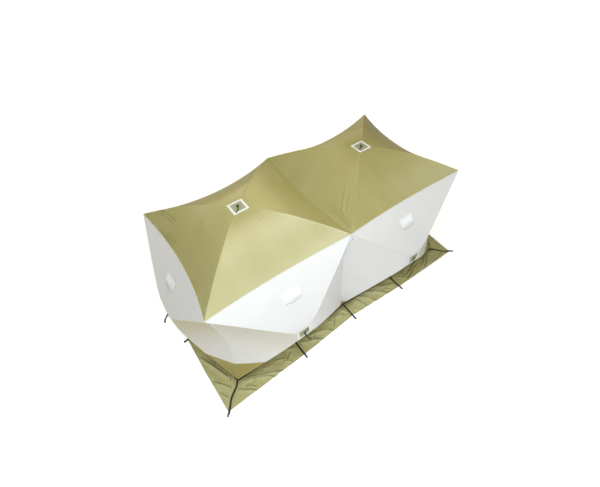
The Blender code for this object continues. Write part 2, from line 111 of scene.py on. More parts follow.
# Windows: middle on the wall, across and up from its hub, and size in the wall's plane
WINDOW_SIZE = (0.200, 0.086)
WINDOW_PLACES = {
    "front_left": (0.015, 0.537),
    "front_right": (-0.020, 0.549),
    "left_end": (-0.030, 0.506),
    "back_left": (0.000, 0.545),
    "back_right": (0.000, 0.545),
}


def unit(vectors):
    """Vectors brought to length 1."""
    return vectors / np.linalg.norm(vectors, axis=-1, keepdims=True)


def smooth(low, high, x):
    """A smooth climb from 0 at low to 1 at high."""
    t = np.clip((x - low) / (high - low), 0, 1)
    return t * t * (3 - 2 * t)


def bell(x):
    """A bell curve: 1 at 0, and almost nothing beyond 2."""
    return np.exp(-(x**2))


def seam_bow(start, end):
    """A seam's pull at its middle: inwards from each outer face of the tent that it lies on."""
    bow = np.zeros(3)
    if max(start[2], end[2]) < CORNER_HEIGHT / 2:
        return bow
    for axis, half in ((0, TENT_LENGTH / 2), (1, TENT_DEPTH / 2)):
        outermost = half - MIDDLE_FOOT_IN - TOLERANCE
        if start[axis] * end[axis] > 0 and min(abs(start[axis]), abs(end[axis])) > outermost:
            bow[axis] = -math.copysign(SEAM_BOW, start[axis])
    if min(start[2], end[2]) > CORNER_HEIGHT / 2:
        bow[2] = -SEAM_BOW
    return bow


class Face:
    """One face of the tent: four ridges from its corners to its hub, and the cloth between.

    Corners run anticlockwise from outside. Facet k lies between ridge k and the next one.
    A place on a face is across and up from its hub in metres, seen square on.
    """

    def __init__(self, name, corners, out, bulge, drop, bend):
        self.name = name
        self.roof = name.startswith("roof")
        self.bulge = bulge
        self.bend = bend
        self.seed = sum(map(ord, name))
        self.corners = np.array(corners, float)
        self.out = np.array(out, float)
        side = self.corners[2] - self.corners[3]
        self.across = unit(side - self.out * (side @ self.out))
        self.up = np.cross(self.out, self.across)
        self.base = (self.corners @ self.out).max()
        middle = self.corners.mean(axis=0)
        self.hub = middle + (self.base + bulge - middle @ self.out) * self.out - drop * self.up
        half_width = np.linalg.norm(self.corners[1] - self.corners[0]) / 2
        self.flat_share = HUB_FLAT_HALF / half_width
        level = self.corners - self.out * ((self.corners - self.hub) @ self.out)[:, None]
        self.flat_corners = self.hub + (level - self.hub) * self.flat_share
        self.bows = [seam_bow(self.corners[k], self.corners[(k + 1) % FACETS]) for k in range(FACETS)]
        self.creases = scattered_creases(self.seed + 2, 9) + PLACED_CREASES.get(name, [])

    def plan(self, points):
        """Across and up of points in space."""
        away = points - self.hub
        return np.stack([away @ self.across, away @ self.up], axis=-1)

    def ridge(self, k, u):
        """A hyperbola from corner k (0), nearly straight there, to level at the flat spot (1)."""
        u = np.asarray(u, float)[..., None]
        k = k % FACETS
        start, end = self.corners[k], self.flat_corners[k]
        whole = math.hypot(1, self.bend) - self.bend
        climb = 1 - (np.hypot(1 - u, self.bend) - self.bend) / whole
        return start + (end - start) * u + self.out * self.bulge * (climb - u)

    def taut(self, k, u, v):
        """A straight sheet between two ridges, drawn in towards its seam by the seam's bow."""
        u, v = np.broadcast_arrays(u, v)
        sheet = (1 - v)[..., None] * self.ridge(k, u) + v[..., None] * self.ridge(k + 1, u)
        drawn = 4 * v * (1 - v) * (1 - u) ** SEAM_BOW_FADE
        return sheet + drawn[..., None] * self.bows[k % FACETS]

    def normal(self, k, u, v):
        """Outward normal of the taut sheet, from small steps along it."""
        step = 0.004
        along_u = self.taut(k, np.minimum(u + step, 1), v) - self.taut(k, np.maximum(u - step, 0), v)
        along_v = self.taut(k, u, np.minimum(v + step, 1)) - self.taut(k, u, np.maximum(v - step, 0))
        square = unit(np.cross(along_v, along_u))
        return square * np.sign(square @ self.out)[..., None]

    def depth(self, k):
        """Way up the middle of a facet, from the seam to the flat spot."""
        return np.linalg.norm(self.taut(k, 1.0, 0.5) - self.taut(k, 0.0, 0.5))

    def width(self, k, u):
        """Way across a facet, from ridge to ridge."""
        return np.linalg.norm(self.ridge(k, u) - self.ridge(k + 1, u), axis=-1)

    def from_ridge(self, k, u, v):
        """Distance from the nearer ridge, and from the seam."""
        return np.minimum(v, 1 - v) * self.width(k, u) * math.sqrt(0.5), u * self.depth(k)

    def cloth(self, k, u, v, lift=0.0, normal=None):
        """Points on the cloth's outer side, lifted off it along its normal."""
        u, v = np.broadcast_arrays(u, v)
        points = self.taut(k, u, v)
        normal = self.normal(k, u, v) if normal is None else normal
        ridge, seam = self.from_ridge(k, u, v)
        plan = self.plan(points)
        height = slack(self, plan) * smooth(0.0, RIDGE_CALM, ridge) * smooth(0.0, SEAM_CALM, seam)
        height *= smooth(*HUB_CALM, np.abs(plan).max(axis=-1))
        sleeve = SLEEVE_RISE * bell(ridge / (SLEEVE_BELL * SLEEVE_HALF)) * smooth(0.0, SLEEVE_END, seam)
        return points + normal * (height + sleeve + CLOTH + lift)[..., None]

    def locate(self, plan):
        """Facet, u and v of places given across and up. It solves the flat sheet, then its bow."""
        corners = self.plan(self.corners)
        k = np.zeros(plan.shape[:-1], int)
        u = np.zeros(plan.shape[:-1])
        v = np.zeros(plan.shape[:-1])
        for facet in range(FACETS):
            basis = np.linalg.inv(np.stack([corners[facet], corners[(facet + 1) % FACETS]], axis=1))
            bow = np.array([self.bows[facet] @ self.across, self.bows[facet] @ self.up])
            drawn = np.zeros(plan.shape[:-1])
            for _ in range(6):
                shares = (plan - drawn[..., None] * bow) @ basis.T
                reach = np.maximum(shares.sum(axis=-1), 1e-6)
                at_v = shares[..., 1] / reach
                at_u = (1 - reach) / (1 - self.flat_share)
                drawn = 4 * at_v * (1 - at_v) * np.clip(1 - at_u, 0, 1) ** SEAM_BOW_FADE
            inside = (shares[..., 0] >= 0) & (shares[..., 1] >= 0) & (shares.sum(axis=-1) > 0)
            k = np.where(inside, facet, k)
            u = np.where(inside, np.clip(at_u, 0, 1), u)
            v = np.where(inside, np.clip(at_v, 0, 1), v)
        return k, u, v

    def gather(self, plan, measure):
        """What measure(k, u, v, here) gives at places across and up, each in its own facet."""
        k, u, v = self.locate(plan)
        points = np.zeros((*k.shape, 3))
        for facet in range(FACETS):
            here = k == facet
            if here.any():
                points[here] = measure(facet, u[here], v[here], here)
        return points

    def on_cloth(self, plan, lift=0.0):
        """Points on the cloth at places given across and up."""
        lift = np.broadcast_to(lift, plan.shape[:-1])
        return self.gather(plan, lambda k, u, v, here: self.cloth(k, u, v, lift[here]))

    def normals_at(self, plan):
        """Outward normals of the taut sheet at places across and up."""
        return self.gather(plan, lambda k, u, v, here: self.normal(k, u, v))

    def over_hub(self, x, y, z):
        """Points at x across, y up and z out from the hub."""
        places = np.stack(np.broadcast_arrays(x, y, z), axis=-1)
        return self.hub + places @ np.array([self.across, self.up, self.out])

    def blend_ends(self, lift=0.0):
        """The planes between which cloth goes from standing still to following the hub."""
        start = self.hub + (self.base - self.hub @ self.out + lift) * self.out
        return tuple(start), tuple(self.hub + self.out * lift)


def fold_waves(plan, seed, wavelengths, heights):
    """A smooth random height: for each wavelength five plane waves, turned at random."""
    rng = np.random.default_rng(seed)
    total = np.zeros(plan.shape[:-1])
    for wavelength, height in zip(wavelengths, heights):
        for _ in range(5):
            turn, phase = rng.uniform(0, 2 * math.pi, 2)
            wave = np.array([math.cos(turn), math.sin(turn)]) * 2 * math.pi / wavelength
            total += height / 5 * np.sin(plan @ wave + phase)
    return total


def corner_fans(face, plan):
    """Pull lines that fan out from each corner: narrow bells in the angle, fading with reach."""
    rng = np.random.default_rng(face.seed + 1)
    height = np.zeros(plan.shape[:-1])
    for corner in face.plan(face.corners):
        away = plan - corner
        reach = np.linalg.norm(away, axis=-1)
        inward = math.atan2(-corner[1], -corner[0])
        angle = (np.arctan2(away[..., 1], away[..., 0]) - inward + math.pi) % (2 * math.pi) - math.pi
        for _ in range(FANS_PER_CORNER):
            at, width = rng.uniform(-FAN_HALF_ANGLE, FAN_HALF_ANGLE), rng.uniform(0.03, 0.06)
            deep = rng.uniform(0.0012, 0.0030) * rng.choice((-1, 1))
            bend, span = rng.uniform(-0.4, 0.4), rng.uniform(0.2, 0.42)
            fade = smooth(0.03, 0.12, reach) * bell(reach / span)
            height += deep * fade * bell((angle - at - bend * reach) / width)
    return height


def crease_height(plan, marks):
    """Short creases, each a bell across a slightly bowed line, with a shallow dip beside it.

    The second value is where shade is painted in each dip: a bell of its own, weaker for a low crease.
    """
    height, shade = np.zeros(plan.shape[:-1]), np.zeros(plan.shape[:-1])
    for start, end, deep, width in marks:
        start, end = np.array(start), np.array(end)
        length = np.linalg.norm(end - start)
        ahead = (end - start) / length
        along = (plan - start) @ ahead
        aside = (plan - start) @ np.array([-ahead[1], ahead[0]])
        bow = 0.15 * along * (1 - along / length)
        ends = smooth(-0.04, 0.04, along) * smooth(-0.04, 0.04, length - along)
        off = (aside - bow) / width
        height += deep * ends * (bell(off) - 0.6 * bell(off - 1.7))
        shade = np.maximum(shade, min(1.0, deep / DEEP_CREASE) * ends * bell((off - 1.3) / 0.9))
    return height, shade


def scattered_creases(seed, count):
    """Faint creases left by packing, at random over a face."""
    rng = np.random.default_rng(seed)
    marks = []
    for _ in range(count):
        start = rng.uniform(-0.65, 0.65, 2)
        turn, length = rng.uniform(0, math.pi), rng.uniform(0.05, 0.16)
        end = start + length * np.array([math.cos(turn), math.sin(turn)])
        marks.append((start, end, rng.uniform(0.0008, 0.0020), rng.uniform(0.010, 0.016)))
    return marks


# Creases that show from a step away: start and end on the face, height and half width
PLACED_CREASES = {
    "roof_left": [
        ((-0.775, 0.82), (-0.648, 0.419), 0.0085, 0.011),
        ((-0.745, 0.68), (-0.690, 0.440), 0.0055, 0.009),
        ((-0.520, 0.13), (-0.526, 0.000), 0.0070, 0.009),
        ((-0.436, 0.17), (-0.452, 0.020), 0.0060, 0.009),
        ((-0.845, 0.56), (-0.822, 0.250), 0.0065, 0.010),
        ((-0.800, 0.42), (-0.775, 0.200), 0.0045, 0.010),
        ((-0.770, 0.05), (-0.740, -0.140), 0.0025, 0.012),
        ((-0.700, -0.26), (-0.720, -0.460), 0.0022, 0.014),
    ],
    "roof_right": [
        ((-0.850, -0.48), (-0.885, -0.82), 0.0060, 0.009),
        ((-0.812, -0.46), (-0.862, -0.82), 0.0060, 0.009),
        ((-0.800, -0.62), (-0.550, -0.38), 0.0030, 0.012),
        ((-0.760, -0.66), (-0.520, -0.46), 0.0026, 0.012),
    ],
    "front_left": [((-0.72, -0.20), (-0.45, -0.34), 0.0030, 0.018)],
}


def slack(face, plan):
    """How far the cloth stands off its taut shape at places on the face."""
    height = fold_waves(plan, face.seed, *SLACK_WAVES)
    return height + corner_fans(face, plan) + crease_height(plan, face.creases)[0]


def foot_y(x):
    """Half the width of the foot at x, drawn in towards the seam between the cubes."""
    return TENT_DEPTH / 2 - MIDDLE_FOOT_IN * np.maximum(0, 1 - np.abs(x) / CUBE_LENGTH)


def tent_faces():
    """A roof, a front and a back for each cube, then the two ends."""
    y, low, high = TENT_DEPTH / 2, FOOT_HEIGHT, CORNER_HEIGHT
    faces = []
    for index, side in enumerate(("left", "right")):
        x0 = -TENT_LENGTH / 2 + index * CUBE_LENGTH
        x1 = x0 + CUBE_LENGTH
        roof = [(x0, -y, high), (x1, -y, high), (x1, y, high), (x0, y, high)]
        front = [(x0, -foot_y(x0), low), (x1, -foot_y(x1), low), (x1, -y, high), (x0, -y, high)]
        back = [(x1, foot_y(x1), low), (x0, foot_y(x0), low), (x0, y, high), (x1, y, high)]
        faces.append(Face(f"roof_{side}", roof, (0, 0, 1), ROOF_RISE, 0, ROOF_ROD_BEND))
        wall = (SIDE_BULGE, WALL_HUB_DROP, SIDE_ROD_BEND)
        faces.append(Face(f"front_{side}", front, (0, -1, 0), *wall))
        faces.append(Face(f"back_{side}", back, (0, 1, 0), *wall))
    x = TENT_LENGTH / 2
    wall = (END_BULGE, WALL_HUB_DROP, END_ROD_BEND)
    left = [(-x, y, low), (-x, -y, low), (-x, -y, high), (-x, y, high)]
    right = [(x, -y, low), (x, y, low), (x, y, high), (x, -y, high)]
    faces.append(Face("left_end", left, (-1, 0, 0), *wall))
    faces.append(Face("right_end", right, (1, 0, 0), *wall))
    return faces


# Meshes


def put_in_scene(obj):
    """Link a new object into the scene."""
    bpy.context.scene.collection.objects.link(obj)
    return obj


def set_marks(mesh, marks):
    """Named values at a mesh's points: one for each, or one for all."""
    for mark, values in marks.items():
        values = np.broadcast_to(np.ravel(values), len(mesh.vertices)).astype(np.float32)
        mesh.attributes.new(mark, "FLOAT", "POINT").data.foreach_set("value", values)


def mesh_points(mesh):
    """Places of a mesh's points, a row each."""
    points = np.zeros(3 * len(mesh.vertices))
    mesh.vertices.foreach_get("co", points)
    return points.reshape(-1, 3)


def mesh_object(name, points, faces, uv=None, marks=None):
    """An object at the origin, with uv and named marks given for each point, in metres."""
    faces = faces.tolist() if isinstance(faces, np.ndarray) else faces
    mesh = bpy.data.meshes.new(name)
    mesh.from_pydata(np.reshape(points, (-1, 3)).tolist(), [], faces)
    mesh.update()
    if uv is not None:
        corner = np.zeros(len(mesh.loops), np.int32)
        mesh.loops.foreach_get("vertex_index", corner)
        flat = np.asarray(uv, np.float32).reshape(-1, 2)[corner]
        mesh.uv_layers.new(name="UVMap").data.foreach_set("uv", flat.ravel())
    set_marks(mesh, marks or {})
    mesh.shade_smooth()
    return put_in_scene(bpy.data.objects.new(name, mesh))


def grid_faces(rows, columns, ring=False):
    """Quads of a grid of rows by columns, whose columns may close into a ring."""
    spans = columns if ring else columns - 1
    row, column = np.meshgrid(np.arange(rows - 1), np.arange(spans), indexing="ij")
    a = row * columns + column
    b = row * columns + (column + 1) % columns
    return np.stack([a, b, b + columns, a + columns], axis=-1).reshape(-1, 4)


def caps(rows, columns):
    """The two end faces of a tube of rows, each a ring of columns."""
    first = np.arange(columns)
    return [first[::-1].tolist(), (first + (rows - 1) * columns).tolist()]


def shell(obj, out, thickness, finish):
    """Give a sheet its thickness, inwards from the side that looks out, and its finish.

    The faces are turned over first if their areas point away from out on the whole.
    """
    count = len(obj.data.polygons)
    normals, areas = np.zeros(3 * count), np.zeros(count)
    obj.data.polygons.foreach_get("normal", normals)
    obj.data.polygons.foreach_get("area", areas)
    if (normals.reshape(-1, 3) @ np.asarray(out, float) * areas).sum() < 0:
        obj.data.flip_normals()
    solid = obj.modifiers.new("Cloth thickness", "SOLIDIFY")
    solid.thickness = thickness
    solid.offset = -1
    solid.use_even_offset = False
    bpy.context.view_layer.update()
    graph = bpy.context.evaluated_depsgraph_get()
    mesh = bpy.data.meshes.new_from_object(obj.evaluated_get(graph))
    obj.modifiers.clear()
    obj.data = mesh
    return dress(obj, finish)


def close_up(obj, steepest=50):
    """Turn a closed mesh's faces outwards, and keep the edges that are steeper than that.

    The volume's sign tells: the sum over the triangles of the box product of their corners.
    """
    mesh = obj.data
    mesh.calc_loop_triangles()
    index = np.zeros(3 * len(mesh.loop_triangles), np.int32)
    mesh.loop_triangles.foreach_get("vertices", index)
    corners = mesh_points(mesh)[index].reshape(-1, 3, 3)
    if (np.cross(corners[:, 0], corners[:, 1]) * corners[:, 2]).sum() < 0:
        mesh.flip_normals()
    mesh.set_sharp_from_angle(angle=math.radians(steepest))
    return obj


def lengths(path):
    """The length along a path up to each of its points."""
    return np.concatenate([[0], np.cumsum(np.linalg.norm(np.diff(path, axis=0), axis=1))])


def grid_uv(rows, columns):
    """A grid of pairs: each row's value with each column's."""
    return np.stack(np.meshgrid(rows, columns, indexing="ij"), axis=-1)


def sweep(name, path, outline, heights, closed=False, scale=1.0, uv=None):
    """Carry a closed outline (side, height) along a path.

    heights gives the way up at each point. The side is square to the path and to the way up.
    uv holds the length along the path and round the outline, and scale swells each ring.
    """
    path, outline = np.asarray(path, float), np.asarray(outline, float)
    if closed:
        ahead = unit(np.roll(path, -1, axis=0) - np.roll(path, 1, axis=0))
    else:
        ahead = unit(np.gradient(path, axis=0))
    side = unit(np.cross(ahead, np.broadcast_to(heights, path.shape)))
    up = np.cross(side, ahead)
    rows, count = len(path), len(outline)
    shape = outline * np.broadcast_to(scale, rows)[:, None, None]
    rings = path[:, None] + side[:, None] * shape[..., :1] + up[:, None] * shape[..., 1:]
    faces = (grid_faces(rows + closed, count, ring=True) % (rows * count)).tolist()
    if not closed:
        faces += caps(rows, count)
    uv = grid_uv(lengths(path), lengths(outline)) if uv is None else uv
    return close_up(mesh_object(name, rings, faces, uv))


def join(name, pieces):
    """One object from several, with their meshes kept as they are."""
    with bpy.context.temp_override(
        active_object=pieces[0], selected_editable_objects=pieces, selected_objects=pieces
    ):
        bpy.ops.object.join()
    bpy.context.view_layer.update()
    pieces[0].name = name
    pieces[0].data.name = name
    return pieces[0]


def spaced(path, step):
    """The path's points again, one every step or so."""
    length = lengths(path)
    at = np.linspace(0, length[-1], max(3, int(round(length[-1] / step)) + 1))
    return np.stack([np.interp(at, length, axis) for axis in path.T], axis=1)


def band_outline(width, thickness):
    """A flat band's cross-section with eased edges, its underside at height 0."""
    half, soft = width / 2, thickness * 0.35
    return [
        (-half, soft), (-half, thickness - soft), (-half + soft, thickness),
        (half - soft, thickness), (half, thickness - soft), (half, soft),
        (half - soft, 0), (-half + soft, 0),
    ]


def round_outline(radius, sides=12, flatten=1.0):
    """A ring of points round the middle, its height flattened by a factor."""
    turn = np.linspace(0, 2 * math.pi, sides, endpoint=False)
    return np.stack([radius * np.cos(turn), flatten * radius * np.sin(turn)], axis=1)


def square_path(side, count):
    """A square round its middle, with count points on each of its four sides."""
    half = side / 2
    corners = np.array([(-half, -half), (half, -half), (half, half), (-half, half), (-half, -half)])
    parts = [np.linspace(a, b, count, endpoint=False) for a, b in zip(corners[:-1], corners[1:])]
    return np.concatenate(parts)


def square_grid(side, count):
    """Places of a square grid round its middle, count by count."""
    line = np.linspace(-side / 2, side / 2, count)
    return grid_uv(line, line)


# Finishes


class Nodes:
    """A node tree, of a new material or the world, with short calls for the nodes in it."""

    def __init__(self, name, world=False):
        self.material = bpy.data.worlds.new(name) if world else bpy.data.materials.new(name)
        self.material.use_nodes = True
        self.tree = self.material.node_tree
        self.shader = self.tree.nodes["Background" if world else "Principled BSDF"]

    def put(self, socket, value):
        """Set a number or a colour in an input, or link an output to it."""
        if isinstance(value, tuple):
            socket.default_value = (*value, 1.0)
        elif isinstance(value, (int, float)):
            socket.default_value = value
        else:
            self.tree.links.new(value, socket)

    def add(self, kind, inputs=None, **values):
        """The outputs of a new node, with these inputs and values."""
        node = self.tree.nodes.new(kind)
        for key, value in values.items():
            setattr(node, key, value)
        for key, value in (inputs or {}).items():
            self.put(node.inputs[key], value)
        return node.outputs

    def set(self, **values):
        """Put values into the shader, and give back the material."""
        for key, value in values.items():
            self.put(self.shader.inputs[key.replace("_", " ")], value)
        return self.material

    def coordinates(self, uv=True):
        """Coordinates on the piece's own surface, or in space."""
        return self.add("ShaderNodeTexCoord")["UV" if uv else "Object"]

    def axes(self, where):
        """The separate axes of a place."""
        return self.add("ShaderNodeSeparateXYZ", {0: where})

    def mark(self, name):
        """A mark that the mesh carries at its points."""
        return self.add("ShaderNodeAttribute", attribute_name=name)["Fac"]

    def noise(self, where, scale, detail=3.0, rough=0.5):
        """Smooth noise of so many spots to the metre, about a half."""
        inputs = {"Scale": scale, "Detail": detail, "Roughness": rough, "Vector": where}
        return self.add("ShaderNodeTexNoise", inputs)["Fac"]

    def between(self, value, low, high, to_low=0.0, to_high=1.0):
        """The value moved from one range to another, and kept inside it."""
        inputs = {"From Min": low, "From Max": high, "To Min": to_low, "To Max": to_high, "Value": value}
        return self.add("ShaderNodeMapRange", inputs, clamp=True)["Result"]

    def speckle(self, where, scale, detail, *limits):
        """Noise moved from one range to another."""
        return self.between(self.noise(where, scale, detail), *limits)

    def maths(self, operation, *values):
        """One operation on one or more values."""
        return self.add("ShaderNodeMath", dict(enumerate(values)), operation=operation)[0]

    def times(self, first, second):
        """The product of two values."""
        return self.maths("MULTIPLY", first, second)

    def plus(self, first, second):
        """The sum of two values."""
        return self.maths("ADD", first, second)

    def most(self, first, second):
        """The larger of two values."""
        return self.maths("MAXIMUM", first, second)

    def reach(self, axes):
        """Distance from the middle in the first two axes."""
        return self.maths("SQRT", self.plus(*(self.maths("POWER", axes[i], 2.0) for i in (0, 1))))

    def ribs(self, value, pitch):
        """A sine wave of that pitch."""
        return self.maths("SINE", self.times(value, 2 * math.pi / pitch))

    def mix(self, share, first, second):
        """Mix of two colours, each a tuple or a socket."""
        return self.add("ShaderNodeMix", {0: share, 6: first, 7: second}, data_type="RGBA")[2]

    def bump(self, height, strength, distance, after=None):
        """A normal tilted by a height, on top of an earlier one if that is given."""
        inputs = {"Strength": strength, "Distance": distance, "Height": height}
        if after is not None:
            inputs["Normal"] = after
        return self.add("ShaderNodeBump", inputs)["Normal"]


# Colours, then widths and pitches in metres
OLIVE = (0.397, 0.349, 0.119)
OLIVE_WORN = (0.425, 0.384, 0.146)
# Painted shade in the dips beside the roof's creases, not a colour of the cloth
PAINTED_CREASE_SHADE = (0.150, 0.130, 0.045)
BAND_OLIVE = (0.335, 0.280, 0.085)
BAND_WORN = (0.368, 0.312, 0.105)
SKIRT_OLIVE = (0.408, 0.382, 0.152)
SKIRT_WORN = (0.475, 0.448, 0.212)
# Lighter tone on raised folds: scuffs, and a painted highlight on the fold tops
SKIRT_SCUFF_AND_HIGHLIGHT = (0.56, 0.545, 0.32)
# Painted shade on the skirt: in its creases and beside the wall's foot
SKIRT_PAINTED_SHADE = (0.040, 0.035, 0.013)
WHITE_CLOTH = (0.735, 0.726, 0.722)
WHITE_WORN = (0.715, 0.706, 0.702)
# Warmer and darker white, towards the bottom of the walls
WHITE_DARKER_LOW = (0.69, 0.675, 0.61)
# Painted shade, tinted olive like light bounced off the skirt, on some wall facets
PAINTED_OLIVE_SHADE = (0.46, 0.415, 0.21)
PATCH_CLOTH = (0.33, 0.335, 0.190)
PATCH_WORN = (0.39, 0.390, 0.235)
PATCH_RUBBED = (0.12, 0.12, 0.08)
STITCH = (0.55, 0.52, 0.36)
STITCH_PALE = (0.75, 0.74, 0.70)
STITCH_PITCH = 0.0042
STITCH_IN = 0.012
THREAD = 0.0007
WEAVE_PITCH = 0.0011
YARN_SPACING = 0.003
YARN_HALF = 0.0005
HERRINGBONE_WIDTH = 0.006
HERRINGBONE_PITCH = 0.0022
TAPE_RIB_PITCH = 0.0012
ZIP_TOOTH_PITCH = 0.0016


def ripstop(nodes, where):
    """Height of a plain weave with a thicker yarn every few millimetres each way."""
    axes = nodes.axes(where)
    plain = nodes.times(*(nodes.ribs(axes[i], WEAVE_PITCH) for i in (0, 1)))
    offs = [nodes.maths("PINGPONG", axes[i], YARN_SPACING) for i in (0, 1)]
    yarns = nodes.most(*(nodes.between(off, 0.0, YARN_HALF, 1.0, 0.0) for off in offs))
    return nodes.plus(nodes.times(plain, 0.35), yarns)


def stitch_line(nodes, distance, along, offset):
    """1 on the thread of a row of stitches at that offset from a line, and 0 off it."""
    off = nodes.maths("ABSOLUTE", nodes.maths("SUBTRACT", distance, offset))
    thread = nodes.between(off, THREAD * 0.5, THREAD, 1.0, 0.0)
    phase = nodes.maths("PINGPONG", along, STITCH_PITCH / 2)
    return nodes.times(thread, nodes.between(phase, STITCH_PITCH * 0.10, STITCH_PITCH * 0.16))


def cloth_material(name, wall):
    """Coated cloth with a rip-stop weave, stitched rod sleeves and seams.

    On a wall the foot is an olive band that is sewn on with two rows of stitches.
    """
    nodes = Nodes(name)
    where = nodes.coordinates()
    ridge, seam = nodes.mark("from_ridge"), nodes.mark("from_seam")
    axes = nodes.axes(where)
    tone = nodes.speckle(where, 3.0, 5.0, 0.35, 0.68)
    along = nodes.plus(axes[0], axes[1])
    stitches = stitch_line(nodes, ridge, along, SLEEVE_HALF)
    stitches = nodes.most(stitches, stitch_line(nodes, seam, along, STITCH_IN))
    folded = nodes.between(seam, 0.0135, 0.0150, 1.0, 0.0)
    if wall:
        height = nodes.mark("over_band")
        # Warmer and darker in speckles, over the lowest 0.35 m above the band
        low_share = nodes.between(height, 0.0, 0.35, 0.35, 0.0)
        darker_low = nodes.times(low_share, nodes.speckle(where, 7.0, 5.0, 0.4, 0.75))
        white = nodes.mix(darker_low, nodes.mix(tone, WHITE_CLOTH, WHITE_WORN), WHITE_DARKER_LOW)
        # Painted shade, tinted olive like bounced light, under the upper ridge of outer side facets
        white = nodes.mix(nodes.times(nodes.mark("lining"), 0.80), white, PAINTED_OLIVE_SHADE)
        above = nodes.between(height, -0.0004, 0.0004)
        colour = nodes.mix(above, nodes.mix(tone, BAND_OLIVE, BAND_WORN), white)
        for offset in (-0.003, -0.009):
            stitches = nodes.most(stitches, stitch_line(nodes, height, axes[0], offset))
        from_hem = nodes.maths("ABSOLUTE", nodes.plus(height, 0.006))
        folded = nodes.most(folded, nodes.between(from_hem, 0.0060, 0.0068, 1.0, 0.0))
        thread = nodes.mix(0.5, STITCH, STITCH_PALE)
        gloss, roughness = {"Specular_IOR_Level": 0.4, "IOR": 1.5}, (0.46, 0.56)
    else:
        colour = nodes.mix(tone, OLIVE, OLIVE_WORN)
        # Painted shade: the roof darkens in the dip beside each placed crease
        colour = nodes.mix(nodes.times(nodes.mark("crease"), 0.45), colour, PAINTED_CREASE_SHADE)
        thread = STITCH
        gloss, roughness = {"Specular_IOR_Level": 0.9, "IOR": 1.66}, (0.35, 0.43)
    threads = nodes.times(stitches, 0.8)
    colour = nodes.mix(threads, colour, thread)
    rough = nodes.speckle(where, 240.0, 2.0, 0.3, 0.7, *roughness)
    normal = nodes.bump(ripstop(nodes, where), 0.35, 0.00015)
    normal = nodes.bump(nodes.noise(where, 16.0, 4.0, 0.55), 0.10, 0.004, normal)
    normal = nodes.bump(nodes.plus(folded, threads), 0.7, 0.0006, normal)
    return nodes.set(Base_Color=colour, Roughness=rough, Normal=normal, **gloss)


def skirt_material():
    """Heavier olive cloth with a stitched hem: lighter where its folds stand up, from scuffs and a painted
    highlight, with painted shade in its creases and beside the wall's foot.
    """
    nodes = Nodes("skirt_cloth")
    where = nodes.coordinates()
    colour = nodes.mix(nodes.speckle(where, 6.0, 6.0, 0.35, 0.68), SKIRT_OLIVE, SKIRT_WORN)
    # Lighter where the folds stand up: scuffs, and a painted highlight on the fold tops
    raised = nodes.between(nodes.mark("fold_height"), 0.004, 0.014)
    scuff_and_highlight = nodes.times(raised, nodes.speckle(where, 90.0, 4.0, 0.45, 0.7))
    colour = nodes.mix(nodes.times(scuff_and_highlight, 0.5), colour, SKIRT_SCUFF_AND_HIGHLIGHT)
    # Painted shade: darker in the creases under the folds' steep flanks and beside the wall's foot
    painted_shade = nodes.most(nodes.times(nodes.mark("crease"), 0.90), nodes.times(nodes.mark("by_foot"), 0.60))
    colour = nodes.mix(painted_shade, colour, SKIRT_PAINTED_SHADE)
    from_hem = nodes.mark("from_hem")
    stitches = stitch_line(nodes, from_hem, nodes.axes(where)[0], STITCH_IN)
    colour = nodes.mix(nodes.times(stitches, 0.8), colour, STITCH)
    hem = nodes.between(from_hem, 0.0145, 0.0155, 1.0, 0.0)
    rough = nodes.speckle(where, 240.0, 2.0, 0.3, 0.7, 0.50, 0.62)
    normal = nodes.bump(ripstop(nodes, where), 0.4, 0.0002)
    normal = nodes.bump(nodes.noise(where, 22.0, 5.0, 0.6), 0.30, 0.004, normal)
    normal = nodes.bump(nodes.plus(hem, stitches), 0.7, 0.0006, normal)
    return nodes.set(Base_Color=colour, Roughness=rough, Normal=normal, Specular_IOR_Level=0.5)


def webbing_material(name, dark, light):
    """Herringbone webbing: slanted ribs that turn about its middle, from its own uv."""
    nodes = Nodes(name)
    where = nodes.coordinates()
    axes = nodes.axes(where)
    slant = nodes.plus(axes[0], nodes.maths("PINGPONG", axes[1], HERRINGBONE_WIDTH))
    ribs = nodes.ribs(slant, HERRINGBONE_PITCH)
    yarn = nodes.noise(where, 600.0, 2.0)
    share = nodes.times(nodes.between(ribs, -1, 1, 0.25, 0.9), nodes.between(yarn, 0.3, 0.7, 0.6, 1.0))
    rough, normal = nodes.between(yarn, 0.3, 0.7, 0.62, 0.82), nodes.bump(ribs, 0.6, 0.0003)
    return nodes.set(Base_Color=nodes.mix(share, dark, light), Roughness=rough, Normal=normal)


def tape_material(name, colour):
    """Folded binding tape: fine ribs across its length and a soft change of tone."""
    nodes = Nodes(name)
    where = nodes.coordinates()
    ribs = nodes.ribs(nodes.axes(where)[0], TAPE_RIB_PITCH)
    mixed = nodes.mix(nodes.speckle(where, 30.0, 4.0, 0.35, 0.65), colour, tuple(c * 0.9 for c in colour))
    rough, normal = nodes.between(ribs, -1, 1, 0.55, 0.7), nodes.bump(ribs, 0.4, 0.0002)
    return nodes.set(Base_Color=mixed, Roughness=rough, Normal=normal, Sheen_Weight=0.1)


def moulded_material(name, colour, roughness, grain=120.0, bump=0.1, shade=0.8, **more):
    """A moulded or coated finish: fine grain in tone, gloss and relief."""
    nodes = Nodes(name)
    value = nodes.noise(nodes.coordinates(uv=False), grain)
    tone = nodes.mix(nodes.between(value, 0.3, 0.7), tuple(c * shade for c in colour), colour)
    rough = nodes.between(value, 0.3, 0.7, roughness - 0.06, roughness + 0.06)
    return nodes.set(Base_Color=tone, Roughness=rough, Normal=nodes.bump(value, bump, 0.001), **more)


